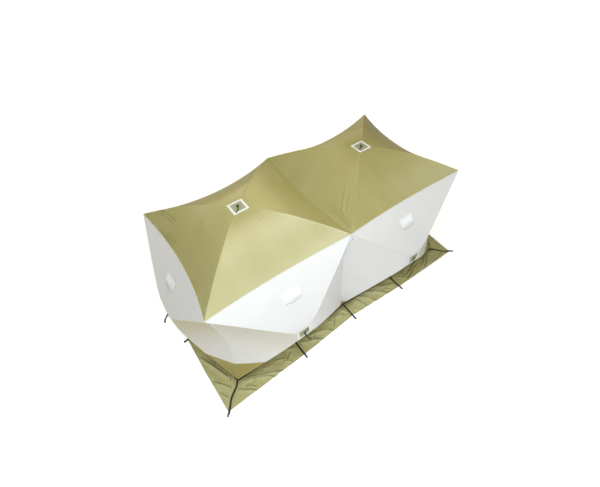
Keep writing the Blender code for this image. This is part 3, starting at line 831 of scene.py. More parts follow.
def patch_material():
    """Rubberised patch cloth in dull olive grey, with a darker rubbed middle."""
    nodes = Nodes("patch_cloth")
    where = nodes.coordinates()
    rubbed = nodes.between(nodes.reach(nodes.axes(where)), 0.01, 0.05, 0.35, 0.0)
    colour = nodes.mix(nodes.speckle(where, 40.0, 4.0, 0.35, 0.65), PATCH_CLOTH, PATCH_WORN)
    colour = nodes.mix(rubbed, colour, PATCH_RUBBED)
    return nodes.set(Base_Color=colour, Roughness=0.55, Normal=nodes.bump(ripstop(nodes, where), 0.5, 0.0002))


def zip_material(name, gap, tooth):
    """Coil zip: close-set teeth across its length, with darker gaps between them."""
    nodes = Nodes(name)
    teeth = nodes.ribs(nodes.axes(nodes.coordinates())[0], ZIP_TOOTH_PITCH)
    colour = nodes.mix(nodes.between(teeth, -0.2, 0.6), gap, tooth)
    return nodes.set(Base_Color=colour, Roughness=0.4, Normal=nodes.bump(teeth, 0.8, 0.0006))


MATERIALS = {
    "roof": cloth_material("roof_cloth", wall=False),
    "wall": cloth_material("wall_cloth", wall=True),
    "skirt": skirt_material(),
    "patch": patch_material(),
    "strap": webbing_material("black_webbing", (0.010, 0.009, 0.007), (0.052, 0.047, 0.038)),
    "foot": webbing_material("dark_olive_webbing", (0.018, 0.018, 0.007), (0.056, 0.053, 0.021)),
    "white_tape": tape_material("white_tape", (0.76, 0.755, 0.74)),
    "cream_tape": tape_material("cream_tape", (0.74, 0.72, 0.58)),
    "olive_tape": tape_material("olive_tape", (0.36, 0.32, 0.14)),
    "tab": moulded_material("grey_tab", (0.23, 0.24, 0.26), 0.45),
    "pane": moulded_material("window_film", (0.91, 0.92, 0.93), 0.30, grain=30.0, bump=0.01, shade=0.97),
    "bright_tape": tape_material("bright_tape", (0.84, 0.84, 0.83)),
    "rod": moulded_material("glass_fibre", (0.045, 0.045, 0.047), 0.33, grain=400.0, bump=0.2),
    "hub": moulded_material("moulded_nylon", (0.028, 0.028, 0.030), 0.45, grain=260.0, bump=0.25),
    "metal": moulded_material("eyelet_metal", (0.30, 0.30, 0.31), 0.32, grain=300.0, Metallic=1.0),
    "hole": moulded_material("shaded_hole", (0.02, 0.02, 0.02), 0.8),
    "zip": zip_material("zip_coil", (0.035, 0.035, 0.03), (0.14, 0.14, 0.13)),
    "pale_zip": zip_material("pale_zip_coil", (0.30, 0.31, 0.30), (0.52, 0.53, 0.51)),
}


def dress(obj, finish):
    """Give a piece its one finish."""
    obj.data.materials.clear()
    obj.data.materials.append(MATERIALS[finish])
    return obj


def pop_through(obj, face, lift=0.0):
    """Bake the piece's transform into its mesh and give it back.

    It does not follow the face's cloth when its hub is pushed in, which turns the cloth over.
    The planes for that, moved by a lift of a little more than the piece's own, are worked out
    but not used.
    """
    start, end = face.blend_ends(lift)
    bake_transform(obj)
    return obj


# Cloth of the faces


def column_shares(roof):
    """Shares of a seam's length where columns stand: close together at the ridges."""
    near = np.array(COLUMNS_NEAR_RIDGE)
    between = np.linspace(near[-1], 1 - near[-1], COLUMNS_BETWEEN[roof])[1:]
    return np.concatenate([near, between, 1 - near[::-1][1:-1]])


def row_shares(roof):
    """Shares of the way from seam to flat spot where rows stand: closer near the seam."""
    return np.linspace(0, 1, ROWS_IN[roof] + 1) ** 1.12


def nearest(values, target):
    """Index of the value that is nearest to the target."""
    return np.argmin(np.abs(values - target))


def ring_normals(points, out):
    """Outward normals of a ring grid, from the differences between its neighbours.

    A trace of the way out keeps the length above 0 where neighbours meet.
    """
    down = np.gradient(points, axis=0)
    round_it = np.roll(points, -1, axis=1) - np.roll(points, 1, axis=1)
    normals = unit(np.cross(round_it, down) + out * 1e-12)
    return normals * np.sign(normals @ out)[..., None]


def face_grid(face):
    """Shares u and v and the outer points of a face, as rows from its seams in."""
    v, u = column_shares(face.roof), row_shares(face.roof)
    if face.name == DOOR_FACE:
        for shares in (v, u):
            for edge in DOOR_SHARE:
                shares[nearest(shares, edge)] = edge
    u[0] = SEAM_GAP / face.depth(0)
    grid_u, grid_v = np.meshgrid(u, v, indexing="ij")
    taut = np.concatenate([face.taut(k, grid_u, grid_v) for k in range(FACETS)], axis=1)
    normals = np.split(ring_normals(taut, face.out), FACETS, axis=1)
    return u, v, [face.cloth(k, grid_u, grid_v, normal=normals[k]) for k in range(FACETS)]


def cloth_uv(face, points):
    """Across and, on a wall, height above the ground: metres on the cloth."""
    uv = face.plan(points)
    if not face.roof:
        uv[..., 1] = points[..., 2]
    return uv


def over_band(face, points):
    """Height above the upper edge of the olive band, which narrows towards the middle foot."""
    climb = np.ones(points.shape[:-1])
    if face.name.startswith(("front", "back")):
        climb = smooth(*BAND_CLIMB, np.abs(points[..., 0]))
    return points[..., 2] - BAND_HEIGHT_MIDDLE - (BAND_HEIGHT - BAND_HEIGHT_MIDDLE) * climb


def lining(face, k, u, v):
    """How much painted shade, tinted olive like light bounced off the skirt, lies under the upper ridge of
    the side facets at outer corners.
    """
    corner = face.corners[2 if k == 1 else 3]
    if k % 2 == 0 or abs(corner[0]) < CUBE_LENGTH / 2:
        return 0 * u
    below = np.where(k == 1, 1 - v, v) * face.width(k, u)
    share = 1.0 if face.name.endswith("end") else 0.55
    return share * bell(below / 0.62) * smooth(0.0, 0.04, below)


def cloth_marks(face, k, u, v, points):
    """The marks that the cloth's finish is drawn by, for each point of one facet."""
    ridge, seam = face.from_ridge(k, u, v)
    marks = {"from_ridge": ridge, "from_seam": seam}
    if face.roof:
        # Where shade is painted beside the placed creases
        marks["crease"] = crease_height(face.plan(points), PLACED_CREASES[face.name])[1]
    else:
        marks["over_band"] = over_band(face, points)
        marks["lining"] = lining(face, k, u, v)
    return marks


def cut_area(face, facets=range(FACETS), share=(0.0, 1.0), flat_spot=True):
    """Area of the taut cloth, from small triangles. share limits u and v alike."""
    steps = np.linspace(*share, 30)
    total = (2 * HUB_FLAT_HALF) ** 2 if flat_spot else 0.0
    for k in facets:
        grid = face.taut(k, *np.meshgrid(steps, steps, indexing="ij"))
        a, b, c, d = grid[:-1, :-1], grid[:-1, 1:], grid[1:, 1:], grid[1:, :-1]
        for p, q, r in ((a, b, c), (a, c, d)):
            total += np.linalg.norm(np.cross(q - p, r - p), axis=-1).sum() / 2
    return float(total)


def make_cloth(face):
    """The whole cloth of one face, closed by a flat square over its hub."""
    u, v, rings = face_grid(face)
    grid_u, grid_v = np.meshgrid(u, v, indexing="ij")
    parts = [cloth_marks(face, k, grid_u, grid_v, rings[k]) for k in range(FACETS)]
    rings = np.concatenate(rings, axis=1)
    rows, columns = rings.shape[:2]
    centre = face.hub + face.out * CLOTH
    flat = np.concatenate([rings, (rings[-1:] + centre) / 2]).reshape(-1, 3)
    faces = grid_faces(rows + 1, columns, ring=True)
    if face.name == DOOR_FACE:
        row, column = np.divmod(faces[:, 0], columns)
        first, last = (nearest(v, share) + DOOR_FACET * len(v) for share in DOOR_SHARE)
        top, low = (nearest(u, share) for share in DOOR_SHARE)
        faces = faces[~((column >= first) & (column < last) & (row >= top) & (row < low))]
    ring = np.arange(columns)
    inner = rows * columns
    fan = np.stack([inner + ring, inner + (ring + 1) % columns, np.full(columns, len(flat))], axis=1)
    points = np.concatenate([flat, centre[None]])
    marks = {}
    for mark in parts[0]:
        grid = np.concatenate([part[mark] for part in parts], axis=1)
        at_hub = 0.0 if mark in ("lining", "crease") else 1.0
        marks[mark] = np.append(grid, np.full(columns + 1, at_hub))
    name = f"cloth_{face.name}"
    obj = mesh_object(name, points, faces.tolist() + fan.tolist(), cloth_uv(face, points), marks)
    drop_loose(obj)
    kind = "roof" if face.roof else "wall"
    shell(obj, face.out, CLOTH, kind)
    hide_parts(f"panel_{face.name}")
    area = cut_area(face)
    if face.name == DOOR_FACE:
        area -= cut_area(face, [DOOR_FACET], DOOR_SHARE, flat_spot=False)
    return pop_through(obj, face)


def drop_loose(obj):
    """Remove points that no face uses."""
    solid = bmesh.new()
    solid.from_mesh(obj.data)
    loose = [point for point in solid.verts if not point.link_faces]
    bmesh.ops.delete(solid, geom=loose, context="VERTS")
    solid.to_mesh(obj.data)
    solid.free()


def sew_tapes(face, tapes, path_at, heights):
    """Flat tapes along one route over a wall, each at its own place off the cloth."""
    for name, (width, thick, off, finish, lift) in tapes.items():
        tape = sweep(name.format(face.name), path_at(off), band_outline(width, thick), heights)
        pop_through(dress(tape, finish), face, lift)


# The door. Tapes: width, thickness, place off the cloth, finish, and lift for the push

DOOR_GAP = 0.0015
DOOR_GRID = (48, 64)
DOOR_TAPES = {
    "door_zip_tape": (0.030, 0.0012, 0.0002, "white_tape", 0.0030),
    "door_zip_coil": (0.006, 0.0020, 0.0013, "zip", 0.0048),
}
DOOR_SLIDERS_AT = (0.12, 0.88)
DOOR_SLIDER = (1.6, 0.003)
DOOR_SLIDER_LIFT = 0.0065


def make_door(face):
    """The zipped flap in one facet of the end wall, with its zip round three sides."""
    low, high = DOOR_SHARE
    gap = DOOR_GAP / face.depth(DOOR_FACET)
    u, v = (np.linspace(low + gap, high - gap, count) for count in DOOR_GRID)
    grid_u, grid_v = np.meshgrid(u, v, indexing="ij")
    points = face.cloth(DOOR_FACET, grid_u, grid_v)
    marks = cloth_marks(face, DOOR_FACET, grid_u, grid_v, points)
    flap = mesh_object("door_cloth", points, grid_faces(*DOOR_GRID), cloth_uv(face, points), marks)
    shell(flap, face.out, CLOTH, "wall")
    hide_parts("door_flap")
    area = cut_area(face, [DOOR_FACET], DOOR_SHARE, flat_spot=False)
    pop_through(flap, face)
    there = np.linspace(low, high, 40)
    back = there[::-1]
    route_u = np.concatenate([there, np.full(39, high), back[1:]])
    route_v = np.concatenate([np.full(40, low), there[1:], np.full(39, high)])
    heights = face.normal(DOOR_FACET, route_u, route_v)
    sew_tapes(face, DOOR_TAPES, lambda off: face.cloth(DOOR_FACET, route_u, route_v, off), heights)
    size, off = DOOR_SLIDER
    for index, share in enumerate(DOOR_SLIDERS_AT):
        place = face.cloth(DOOR_FACET, high, low + (high - low) * share, off)
        pop_through(make_slider(f"door_zip_slider_{index + 1}", place, face, size), face, DOOR_SLIDER_LIFT)


def make_slider(name, place, face, size):
    """A zip's slider with its hanging pull: a rounded body, a bail and a tongue."""
    out, down = face.out, -face.up
    body_path = place + np.linspace(-0.006, 0.006, 7)[:, None] * down * size
    swell = np.array([0.55, 0.9, 1.0, 1.0, 1.0, 0.85, 0.5])
    body = sweep(name, body_path, round_outline(0.0042 * size, 12, 0.6), out, scale=swell)
    turn = np.linspace(0, math.pi, 12)
    bail_path = place + (np.cos(turn)[:, None] * down * 0.004 + np.sin(turn)[:, None] * out * 0.005) * size
    bail = sweep(f"{name}_bail", bail_path, round_outline(0.0008 * size, 8), np.cross(down, out))
    tongue_path = place + out * 0.0035 * size + np.linspace(0.002, 0.030, 10)[:, None] * down * size
    tongue = sweep(f"{name}_pull", tongue_path, band_outline(0.006 * size, 0.0014 * size), out)
    return join(name, [dress(piece, "metal") for piece in (body, bail, tongue)])


# Windows. Frame: its rings as way in and place off the cloth. Sliders: size, and place off the cloth

PANE_GRID = (16, 26)
PANE_OFF = 0.0030
PANE_THICK = 0.0005
PANE_LIFT = 0.0045
FRAME_RINGS = ((0.000, 0.0008), (0.001, 0.0042), (0.004, 0.0048), (0.014, 0.0048), (0.017, 0.0034))
FRAME_WIDTH = 0.018
FRAME_THICK = 0.0006
FRAME_LIFT = 0.0060
WINDOW_ZIP_HALF = 0.105
WINDOW_ZIP_BELOW = 0.027
WINDOW_ZIP_SAG = 0.018
WINDOW_TAPES = {
    "window_zip_tape_{}": (0.018, 0.0010, 0.0003, "white_tape", 0.0030),
    "window_zip_coil_{}": (0.0055, 0.0014, 0.0012, "pale_zip", 0.0040),
}
WINDOW_SLIDER = (0.8, 0.0025)
WINDOW_SLIDER_LIFT = 0.0055
WINDOW_PULL = {"window_pull_{}": (0.010, 0.0012, 0.0030, "white_tape", 0.0065)}
PULL_SWING = 0.004


def make_window(face):
    """A film pane in a sewn frame, with the curved zip of its cover below."""
    middle = np.array(WINDOW_PLACES[face.name])
    width, height = WINDOW_SIZE
    rows, columns = PANE_GRID
    line = np.linspace(-width / 2, width / 2, columns), np.linspace(-height / 2, height / 2, rows)
    plan = middle + np.stack(np.meshgrid(*line), axis=-1)
    points = face.on_cloth(plan, PANE_OFF)
    pane = mesh_object(f"window_{face.name}", points, grid_faces(rows, columns), plan - middle)
    pop_through(shell(pane, face.out, PANE_THICK, "pane"), face, PANE_LIFT)
    square = square_path(1.0, 24)
    size = np.array(WINDOW_SIZE) + FRAME_WIDTH
    rings = [face.on_cloth(middle + square * (size - 2 * way_in), off) for way_in, off in FRAME_RINGS]
    ways_in = np.linspace(0, FRAME_WIDTH, len(rings))
    frame_piece = edging(f"window_frame_{face.name}", rings, ways_in, 2 * (width + height))
    pop_through(shell(frame_piece, face.out, FRAME_THICK, "bright_tape"), face, FRAME_LIFT)
    make_window_zip(face, middle)


def edging(name, rings, ways_in, way_round):
    """A frame of tape through rings, each further in. uv holds the way round and the way in."""
    rings = np.array(rings)
    rows, count = rings.shape[:2]
    uv = grid_uv(ways_in, np.arange(count) / count * way_round)[..., ::-1]
    return mesh_object(name, rings, grid_faces(rows, count, ring=True), uv)


def make_window_zip(face, middle):
    """A zip that sags in a shallow arc under the pane, with its slider and ribbon at its middle."""
    across = np.linspace(-WINDOW_ZIP_HALF, WINDOW_ZIP_HALF, 41)
    sag = WINDOW_ZIP_SAG * (1 - (across / WINDOW_ZIP_HALF) ** 2)
    plan = middle + np.stack([across, -WINDOW_SIZE[1] / 2 - WINDOW_ZIP_BELOW - sag], axis=1)
    sew_tapes(face, WINDOW_TAPES, lambda off: face.on_cloth(plan, off), face.normals_at(plan))
    size, off = WINDOW_SLIDER
    slider = make_slider(f"window_zip_slider_{face.name}", face.on_cloth(plan[20], off), face, size)
    pop_through(slider, face, WINDOW_SLIDER_LIFT)
    swing = PULL_SWING * np.sin(across[::2] * 40)
    hang = plan[20] + np.stack([swing, np.linspace(-0.012, -0.060, 21)], axis=1)
    away = PULL_SWING * np.sin(np.linspace(0, math.pi, 21))
    sew_tapes(face, WINDOW_PULL, lambda off: face.on_cloth(hang, off + away), face.normals_at(hang))


# Patches over the hubs, with their pull loops. Binding: its rings as share of the way in, and rise

PATCH_IN = 0.004
PATCH_THICK = 0.0012
PATCH_GRID = 33
PATCH_CROWN = (0.0035, 0.020)
PATCH_DOME = 0.0012
BINDING_WIDTH = 0.026
BINDING_THICK = 0.0010
BINDING_RINGS = (
    (0.0, 0.0), (0.02, 0.0012), (0.08, 0.0017), (0.5, 0.0020), (0.92, 0.0017), (0.98, 0.0012), (1.0, 0.0),
)
SCREW_PROFILE = (
    (0.0105, 0.0), (0.0110, 0.0006), (0.0105, 0.0014), (0.0070, 0.0018),
    (0.0065, 0.0040), (0.0055, 0.0052), (0.0030, 0.0058), (0.0001, 0.0058),
)
SCREW_SIDES = 28
SCREW_OFF = 0.0050


def knot_path(size, count=120):
    """An overhand knot: two turns round the ring while its strand winds three times."""
    t = np.linspace(0, 2 * math.pi, count, endpoint=False)
    reach = 1 + 0.42 * np.cos(3 * t)
    return np.stack([reach * np.cos(2 * t), reach * np.sin(2 * t), 0.42 * np.sin(3 * t)], axis=1) * size


def make_patch(face):
    """A square patch with a bound edge, sewn over the hub, and the knotted pull loop on it."""
    side = PATCH_SIDE - PATCH_IN
    grid = square_grid(side, PATCH_GRID)
    x, y = grid[..., 0], grid[..., 1]
    reach = np.maximum(np.abs(x), np.abs(y)) / (side / 2)
    tall, half = PATCH_CROWN
    crown = tall * bell(np.hypot(x, y) / half) + PATCH_DOME * (1 - reach**2)
    points = face.over_hub(x, y, PATCH_LOW + 0.0014 + crown)
    plate = mesh_object(f"patch_{face.name}_cloth", points, grid_faces(PATCH_GRID, PATCH_GRID), grid)
    shell(plate, face.out, PATCH_THICK, "patch")
    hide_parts(f"patch_{face.name}")
    for piece in (plate, make_binding(face, side), make_screw(face), make_pull_loop(face)):
        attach(piece, f"hub_{face.name}")


def make_binding(face, side):
    """A flat square frame of tape: an outer and an inner square, eased up between them."""
    rings, ways_in = [], []
    for share, rise in BINDING_RINGS:
        ring = square_path(side + PATCH_IN - 2 * BINDING_WIDTH * share, 20)
        rings.append(face.over_hub(ring[:, 0], ring[:, 1], PATCH_LOW + 0.0012 + rise))
        ways_in.append(share * BINDING_WIDTH)
    band = edging(f"patch_{face.name}_binding", rings, ways_in, 4 * side)
    shell(band, face.out, BINDING_THICK, "bright_tape")
    band.data.set_sharp_from_angle(angle=math.radians(40))
    return band


def make_screw(face):
    """The hub's screw and washer: a turned profile about the hub's axis."""
    profile = np.array(SCREW_PROFILE)
    rows = len(profile)
    turn = round_outline(1.0, SCREW_SIDES)
    x, y = (profile[:, :1] * turn[:, axis] for axis in (0, 1))
    points = face.over_hub(x, y, profile[:, 1:] + PATCH_LOW + SCREW_OFF)
    faces = grid_faces(rows, SCREW_SIDES, ring=True).tolist() + caps(rows, SCREW_SIDES)
    screw = close_up(mesh_object(f"patch_{face.name}_screw", points, faces), 35)
    return dress(screw, "metal")


# How each loop's tail hangs: sideways, down the face and out from it
TAILS = {
    "roof_left": (-0.060, 0.072, 0.0),
    "roof_right": (-0.062, 0.032, 0.0),
    "front_left": (0.075, 0.225, 0.012),
    "front_right": (-0.070, 0.225, 0.012),
    "left_end": (0.0, 0.120, 0.075),
}
TAIL_HIDDEN = (0.015, 0.150, 0.010)
TAIL_THICK = 0.0022
KNOT_SIZE = 0.0078
KNOT_TILT = 0.35
KNOT_OFF = 0.0185
KNOT_STRAND = 0.0036


def make_pull_loop(face):
    """Narrow webbing tied in a knot over the screw, with one short end and one hanging tail."""
    x, y, z = knot_path(KNOT_SIZE).T
    cos, sin = math.cos(KNOT_TILT), math.sin(KNOT_TILT)
    path = face.over_hub(x, y * cos - z * sin, y * sin + z * cos + KNOT_OFF)
    knot = sweep(f"loop_{face.name}", path, round_outline(KNOT_STRAND, 10, 0.8), face.out, closed=True)
    aside, down, away = TAILS.get(face.name, TAIL_HIDDEN)
    share = np.linspace(0, 1, 40)
    width, reach, lift = 0.016, 0.050, 0.019 + away * share * (2 - share)
    if face.roof:
        width, reach, lift = 0.011, 0.018, 0.016 * (1 - smooth(0.0, 0.45, share)) + 0.0085
    flat_side = face.out
    if face.name == "left_end":
        width, flat_side = 0.022, face.across
    route = face.over_hub(aside * (0.25 * share + 0.75 * share**2), -0.006 - down * share, lift)
    tail = sweep(f"loop_{face.name}_tail", route, band_outline(width, TAIL_THICK), flat_side)
    sink = 0.008 * smooth(0, 1, share)
    short = face.over_hub(0.006 + reach * share, 0.004 + 0.8 * reach * share, 0.019 - sink)
    stub = sweep(f"loop_{face.name}_end", short, band_outline(width * 0.8, TAIL_THICK), face.out)
    return join(f"loop_{face.name}", [dress(piece, "strap") for piece in (knot, tail, stub)])


# Rods

ROD_LIFT = -0.0095
FERRULE_SWELL = 0.16
CAP_SWELL = 0.12


def rod_path(face, k, count=60):
    """The rod's middle line under its ridge, deep enough to clear both facets beside it."""
    u = np.linspace(0.012, 0.985, count)
    step = 0.03
    right = face.normal(k, u, np.full_like(u, step))
    left = face.normal((k - 1) % FACETS, u, np.full_like(u, 1 - step))
    middle = unit(right + left)
    flattest = np.minimum((middle * right).sum(1), (middle * left).sum(1))
    return face.ridge(k, u) - middle * (ROD_SEAT / flattest)[:, None], middle


def make_rods(face):
    """Four glass fibre rods, each with a ferrule at its middle and a cap at its corner end."""
    for k in range(FACETS):
        path, up = rod_path(face, k)
        share = np.linspace(0, 1, len(path))
        ferrule = smooth(0.46, 0.465, share) * smooth(0.54, 0.535, share)
        scale = 1 + FERRULE_SWELL * ferrule + CAP_SWELL * smooth(0.03, 0.025, share)
        rod = sweep(f"tent_rod_{face.name}_{k + 1}", path, round_outline(ROD_RADIUS), up, scale=scale)
        dress(rod, "rod")
        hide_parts(f"rod_{face.name}_{k + 1}")
        pop_through(rod, face, ROD_LIFT)


# Piping on the seams

ROOF_PIPING = 0.0042
VALLEY_PIPING = 0.0034
WALL_PIPING = 0.0013


def seam_line(face, k, count=90):
    """Points along the seam of facet k, a little short of its corners."""
    v = np.linspace(0.004, 0.996, count)
    return face.taut(k, np.zeros_like(v), v)


def make_piping(faces):
    """Piping on every seam: cream round the roof, white down the walls, olive in the valley."""
    by_name = {face.name: face for face in faces}
    for side, outer in (("left", 3), ("right", 1)):
        roof = by_name[f"roof_{side}"]
        for place, k in (("front", 0), ("back", 2), ("end", outer)):
            level = (roof.corners[k] + roof.corners[(k + 1) % FACETS]) / 2 - roof.corners.mean(axis=0)
            out = unit(unit(level) + roof.out)
            piping(f"roof_piping_{side}_{place}", seam_line(roof, k), out, ROOF_PIPING, "cream_tape")
        for place, k in (("front", outer), ("back", 4 - outer)):
            wall = by_name[f"{place}_{side}"]
            points = seam_line(wall, k)
            wall_piping(f"wall_piping_{side}_{place}", wall, points, unit(points * [1, 1, 0]))
    for place, k in (("front", 1), ("back", 3)):
        wall = by_name[f"{place}_left"]
        wall_piping(f"wall_piping_middle_{place}", wall, seam_line(wall, k), wall.out)
    valley = seam_line(by_name["roof_left"], 1)
    piping("roof_piping_middle", valley, np.array([0, 0, 1.0]), VALLEY_PIPING, "olive_tape")


def wall_piping(name, face, points, out):
    """Piping in the wall's own cloth, with the marks of a place away from its stitches."""
    cord = piping(name, points, out, WALL_PIPING, "wall")
    band = over_band(face, mesh_points(cord.data))
    set_marks(cord.data, {"from_ridge": 1.0, "from_seam": 1.0, "lining": 0.0, "over_band": band})


def piping(name, points, out, radius, finish):
    """A thin filled cord, sewn into the seam and standing half proud of it."""
    out = unit(np.atleast_2d(out).mean(axis=0))
    cord = sweep(name, spaced(points, 0.012) + out * radius * 0.55, round_outline(radius, 10), out)
    dress(cord, finish)
    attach(cord, "tent_body")
    return cord


# Pads with an eyelet, under the top corners of the long walls. Lifts are for the push

PAD_CORNERS = {"front_left": (3,), "front_right": (2, 3), "back_left": (2,), "back_right": (2, 3)}
PAD_SIDE = 0.058
PAD_DROP = 0.105
PAD_IN = 0.036
PAD_THICK = 0.0010
PAD_LIFT = 0.0045
EYELET_RADIUS = 0.0065
EYELET_RIM = 0.0022
EYELET_SIDES = 40
EYELET_LIFT = 0.0060
HOLE_THICK = 0.0003
HOLE_LIFT = 0.0055


def make_pads(face):
    """Under each of these corners a square pad, and on it a metal ring with a dark disc in it."""
    corners = face.plan(face.corners)
    for k in PAD_CORNERS.get(face.name, ()):
        place = f"{face.name}_{k}"
        middle = corners[k] + np.array([-math.copysign(PAD_IN, corners[k][0]), -PAD_DROP])
        grid = square_grid(PAD_SIDE, 13)
        points = face.on_cloth(middle + grid, 0.0010)
        pad = mesh_object(f"corner_pad_{place}", points, grid_faces(13, 13), grid)
        pop_through(shell(pad, face.out, PAD_THICK, "bright_tape"), face, PAD_LIFT)
        ring = round_outline(EYELET_RADIUS, EYELET_SIDES)
        rim = face.on_cloth(middle + ring, 0.0016)
        normals = face.normals_at(middle + ring)
        eyelet = sweep(f"eyelet_{place}", rim, round_outline(EYELET_RIM, 10), normals, closed=True)
        pop_through(dress(eyelet, "metal"), face, EYELET_LIFT)
        disc = face.on_cloth(middle + np.concatenate([ring * 0.9, [[0, 0]]]), 0.0014)
        fan = [[i, (i + 1) % EYELET_SIDES, EYELET_SIDES] for i in range(EYELET_SIDES)]
        hole = mesh_object(f"eyelet_hole_{place}", disc, fan)
        pop_through(shell(hole, face.out, HOLE_THICK, "hole"), face, HOLE_LIFT)


# Ground skirt

SIDES = ("front", "right", "back", "left")
SIDE_LENGTHS = (TENT_LENGTH, TENT_DEPTH, TENT_LENGTH, TENT_DEPTH)
SKIRT_CLOTH = 0.0016
STRAP_FLAT = 0.016
FOLD_RISE = 1.3

# Width of the skirt at places along each side, where its straps have pulled the hem out
HEMS = (
    ((-2.08, 0.280), (-0.90, 0.243), (0.00, 0.198), (0.45, 0.215), (0.90, 0.232),
     (1.50, 0.236), (2.04, 0.235)),
    ((-1.14, 0.235), (0.00, 0.290), (1.17, 0.270)),
    ((-2.07, 0.270), (-0.90, 0.250), (0.00, 0.225), (0.90, 0.250), (2.07, 0.270)),
    ((-1.17, 0.270), (0.00, 0.322), (0.50, 0.312), (1.18, 0.280)),
)

# Folds from near the foot out to the hem: their line along and out, height and half width
FOLDS = (
    (
        ((-1.78, 0.05), (-1.60, 0.135), (-1.47, 0.205), (-1.38, 0.275), 0.024, 0.020),
        ((-1.74, 0.035), (-1.58, 0.115), (-1.41, 0.195), (-1.27, 0.255), 0.020, 0.016),
        ((-1.86, 0.10), (-1.80, 0.175), (-1.73, 0.22), (-1.67, 0.27), 0.018, 0.014),
        ((-1.76, 0.13), (-1.72, 0.17), (-1.66, 0.22), 0.012, 0.012),
        ((-1.30, 0.03), (-1.10, 0.05), (-0.96, 0.10), 0.008, 0.022),
        ((-0.87, 0.07), (-0.78, 0.135), (-0.65, 0.185), (-0.56, 0.23), 0.018, 0.014),
        ((-0.72, 0.08), (-0.60, 0.115), (-0.48, 0.15), (-0.38, 0.21), 0.022, 0.016),
        ((-0.38, 0.02), (-0.35, 0.05), (-0.32, 0.09), 0.014, 0.012),
        ((-0.24, 0.085), (-0.17, 0.10), (-0.10, 0.125), 0.012, 0.012),
        ((-0.11, 0.00), (-0.08, 0.05), (-0.03, 0.12), 0.014, 0.014),
        ((0.04, -0.03), (0.17, 0.02), (0.21, 0.10), (0.26, 0.18), 0.018, 0.016),
        ((0.07, -0.03), (0.24, 0.035), (0.35, 0.12), (0.43, 0.21), 0.024, 0.020),
        ((0.12, -0.04), (0.30, 0.00), (0.48, 0.09), (0.66, 0.215), 0.026, 0.020),
        ((0.28, -0.03), (0.45, 0.01), (0.60, 0.07), 0.016, 0.020),
        ((0.56, 0.01), (0.65, 0.10), (0.77, 0.15), (0.87, 0.175), 0.024, 0.018),
        ((0.74, 0.02), (0.82, 0.07), (0.88, 0.09), 0.012, 0.014),
        ((0.97, 0.05), (1.00, 0.11), (1.03, 0.135), 0.016, 0.012),
        ((1.04, 0.135), (1.11, 0.10), (1.16, 0.05), 0.016, 0.012),
        ((1.05, 0.185), (1.17, 0.17), (1.30, 0.125), (1.42, 0.085), 0.022, 0.016),
        ((1.22, 0.05), (1.28, 0.085), (1.33, 0.095), 0.010, 0.012),
        ((1.44, 0.20), (1.55, 0.15), (1.66, 0.07), 0.022, 0.018),
        ((1.50, 0.05), (1.62, 0.04), (1.75, 0.02), 0.012, 0.020),
        ((1.62, 0.20), (1.80, 0.18), (1.95, 0.14), 0.012, 0.016),
    ),
    (
        ((-0.90, 0.07), (-0.78, 0.13), (-0.66, 0.24), 0.018, 0.016),
        ((-0.85, 0.22), (-0.70, 0.20), (-0.55, 0.12), 0.014, 0.014),
        ((-0.60, 0.04), (-0.45, 0.10), (-0.25, 0.22), 0.020, 0.018),
    ),
    (),
    (
        ((0.85, 0.08), (0.70, 0.135), (0.53, 0.21), (0.36, 0.285), 0.024, 0.016),
        ((0.97, 0.12), (0.88, 0.17), (0.76, 0.27), 0.014, 0.012),
        ((0.62, 0.06), (0.40, 0.13), (0.12, 0.26), 0.016, 0.018),
        ((1.05, 0.20), (0.98, 0.24), (0.92, 0.27), 0.010, 0.010),
    ),
)
# Reach beside a fold, wavelengths and heights of crumples and hem, and the mesh
FOLD_REACH = 0.15
CRUMPLES = ((0.22, 0.10, 0.05, 0.028), (0.0040, 0.0034, 0.0022, 0.0010))
HEM_WAVES = ((0.33, 0.14), (0.0024, 0.00144))
SKIRT_ROWS = 64
SKIRT_STEP = 0.0080


def strap_stops(length):
    """Places of the straps along a side, from corner to corner."""
    spans = max(1, round(length / STRAP_SPACING))
    return np.linspace(-length / 2, length / 2, spans + 1)


def hem_width(side, along):
    """Width of the skirt there, on straight lines between the places of its hem."""
    return np.interp(along, *np.transpose(HEMS[side]))


def ground_place(side, along, spread):
    """A point on the ground, spread outside one side of the foot, at along from its middle.

    Sides run anticlockwise from the front. The foot's drawn-in middle fades out with spread.
    """
    if side % 2 == 0:
        fade = 1 - np.clip(spread / SKIRT_WIDTH, 0, 1)
        drawn = fade * MIDDLE_FOOT_IN * np.clip(1 - np.abs(along) / CUBE_LENGTH, 0, None)
        place = along, -TENT_DEPTH / 2 - spread + drawn
    else:
        place = TENT_LENGTH / 2 + spread, along
    return np.array(place) * (1 if side < 2 else -1)


def smooth_line(points, count=40):
    """A curve through a few points: each pair is joined by a cubic with shared slopes."""
    points = np.array(points, float)
    slopes = np.gradient(points, axis=0)
    at = np.linspace(0, len(points) - 1, count)
    first = np.minimum(at.astype(int), len(points) - 2)
    t = (at - first)[:, None]
    a, b, m, n = points[first], points[first + 1], slopes[first], slopes[first + 1]
    start = (1 + 2 * t) * (1 - t) ** 2 * a + t * (1 - t) ** 2 * m
    return start + t**2 * (3 - 2 * t) * b + t**2 * (t - 1) * n


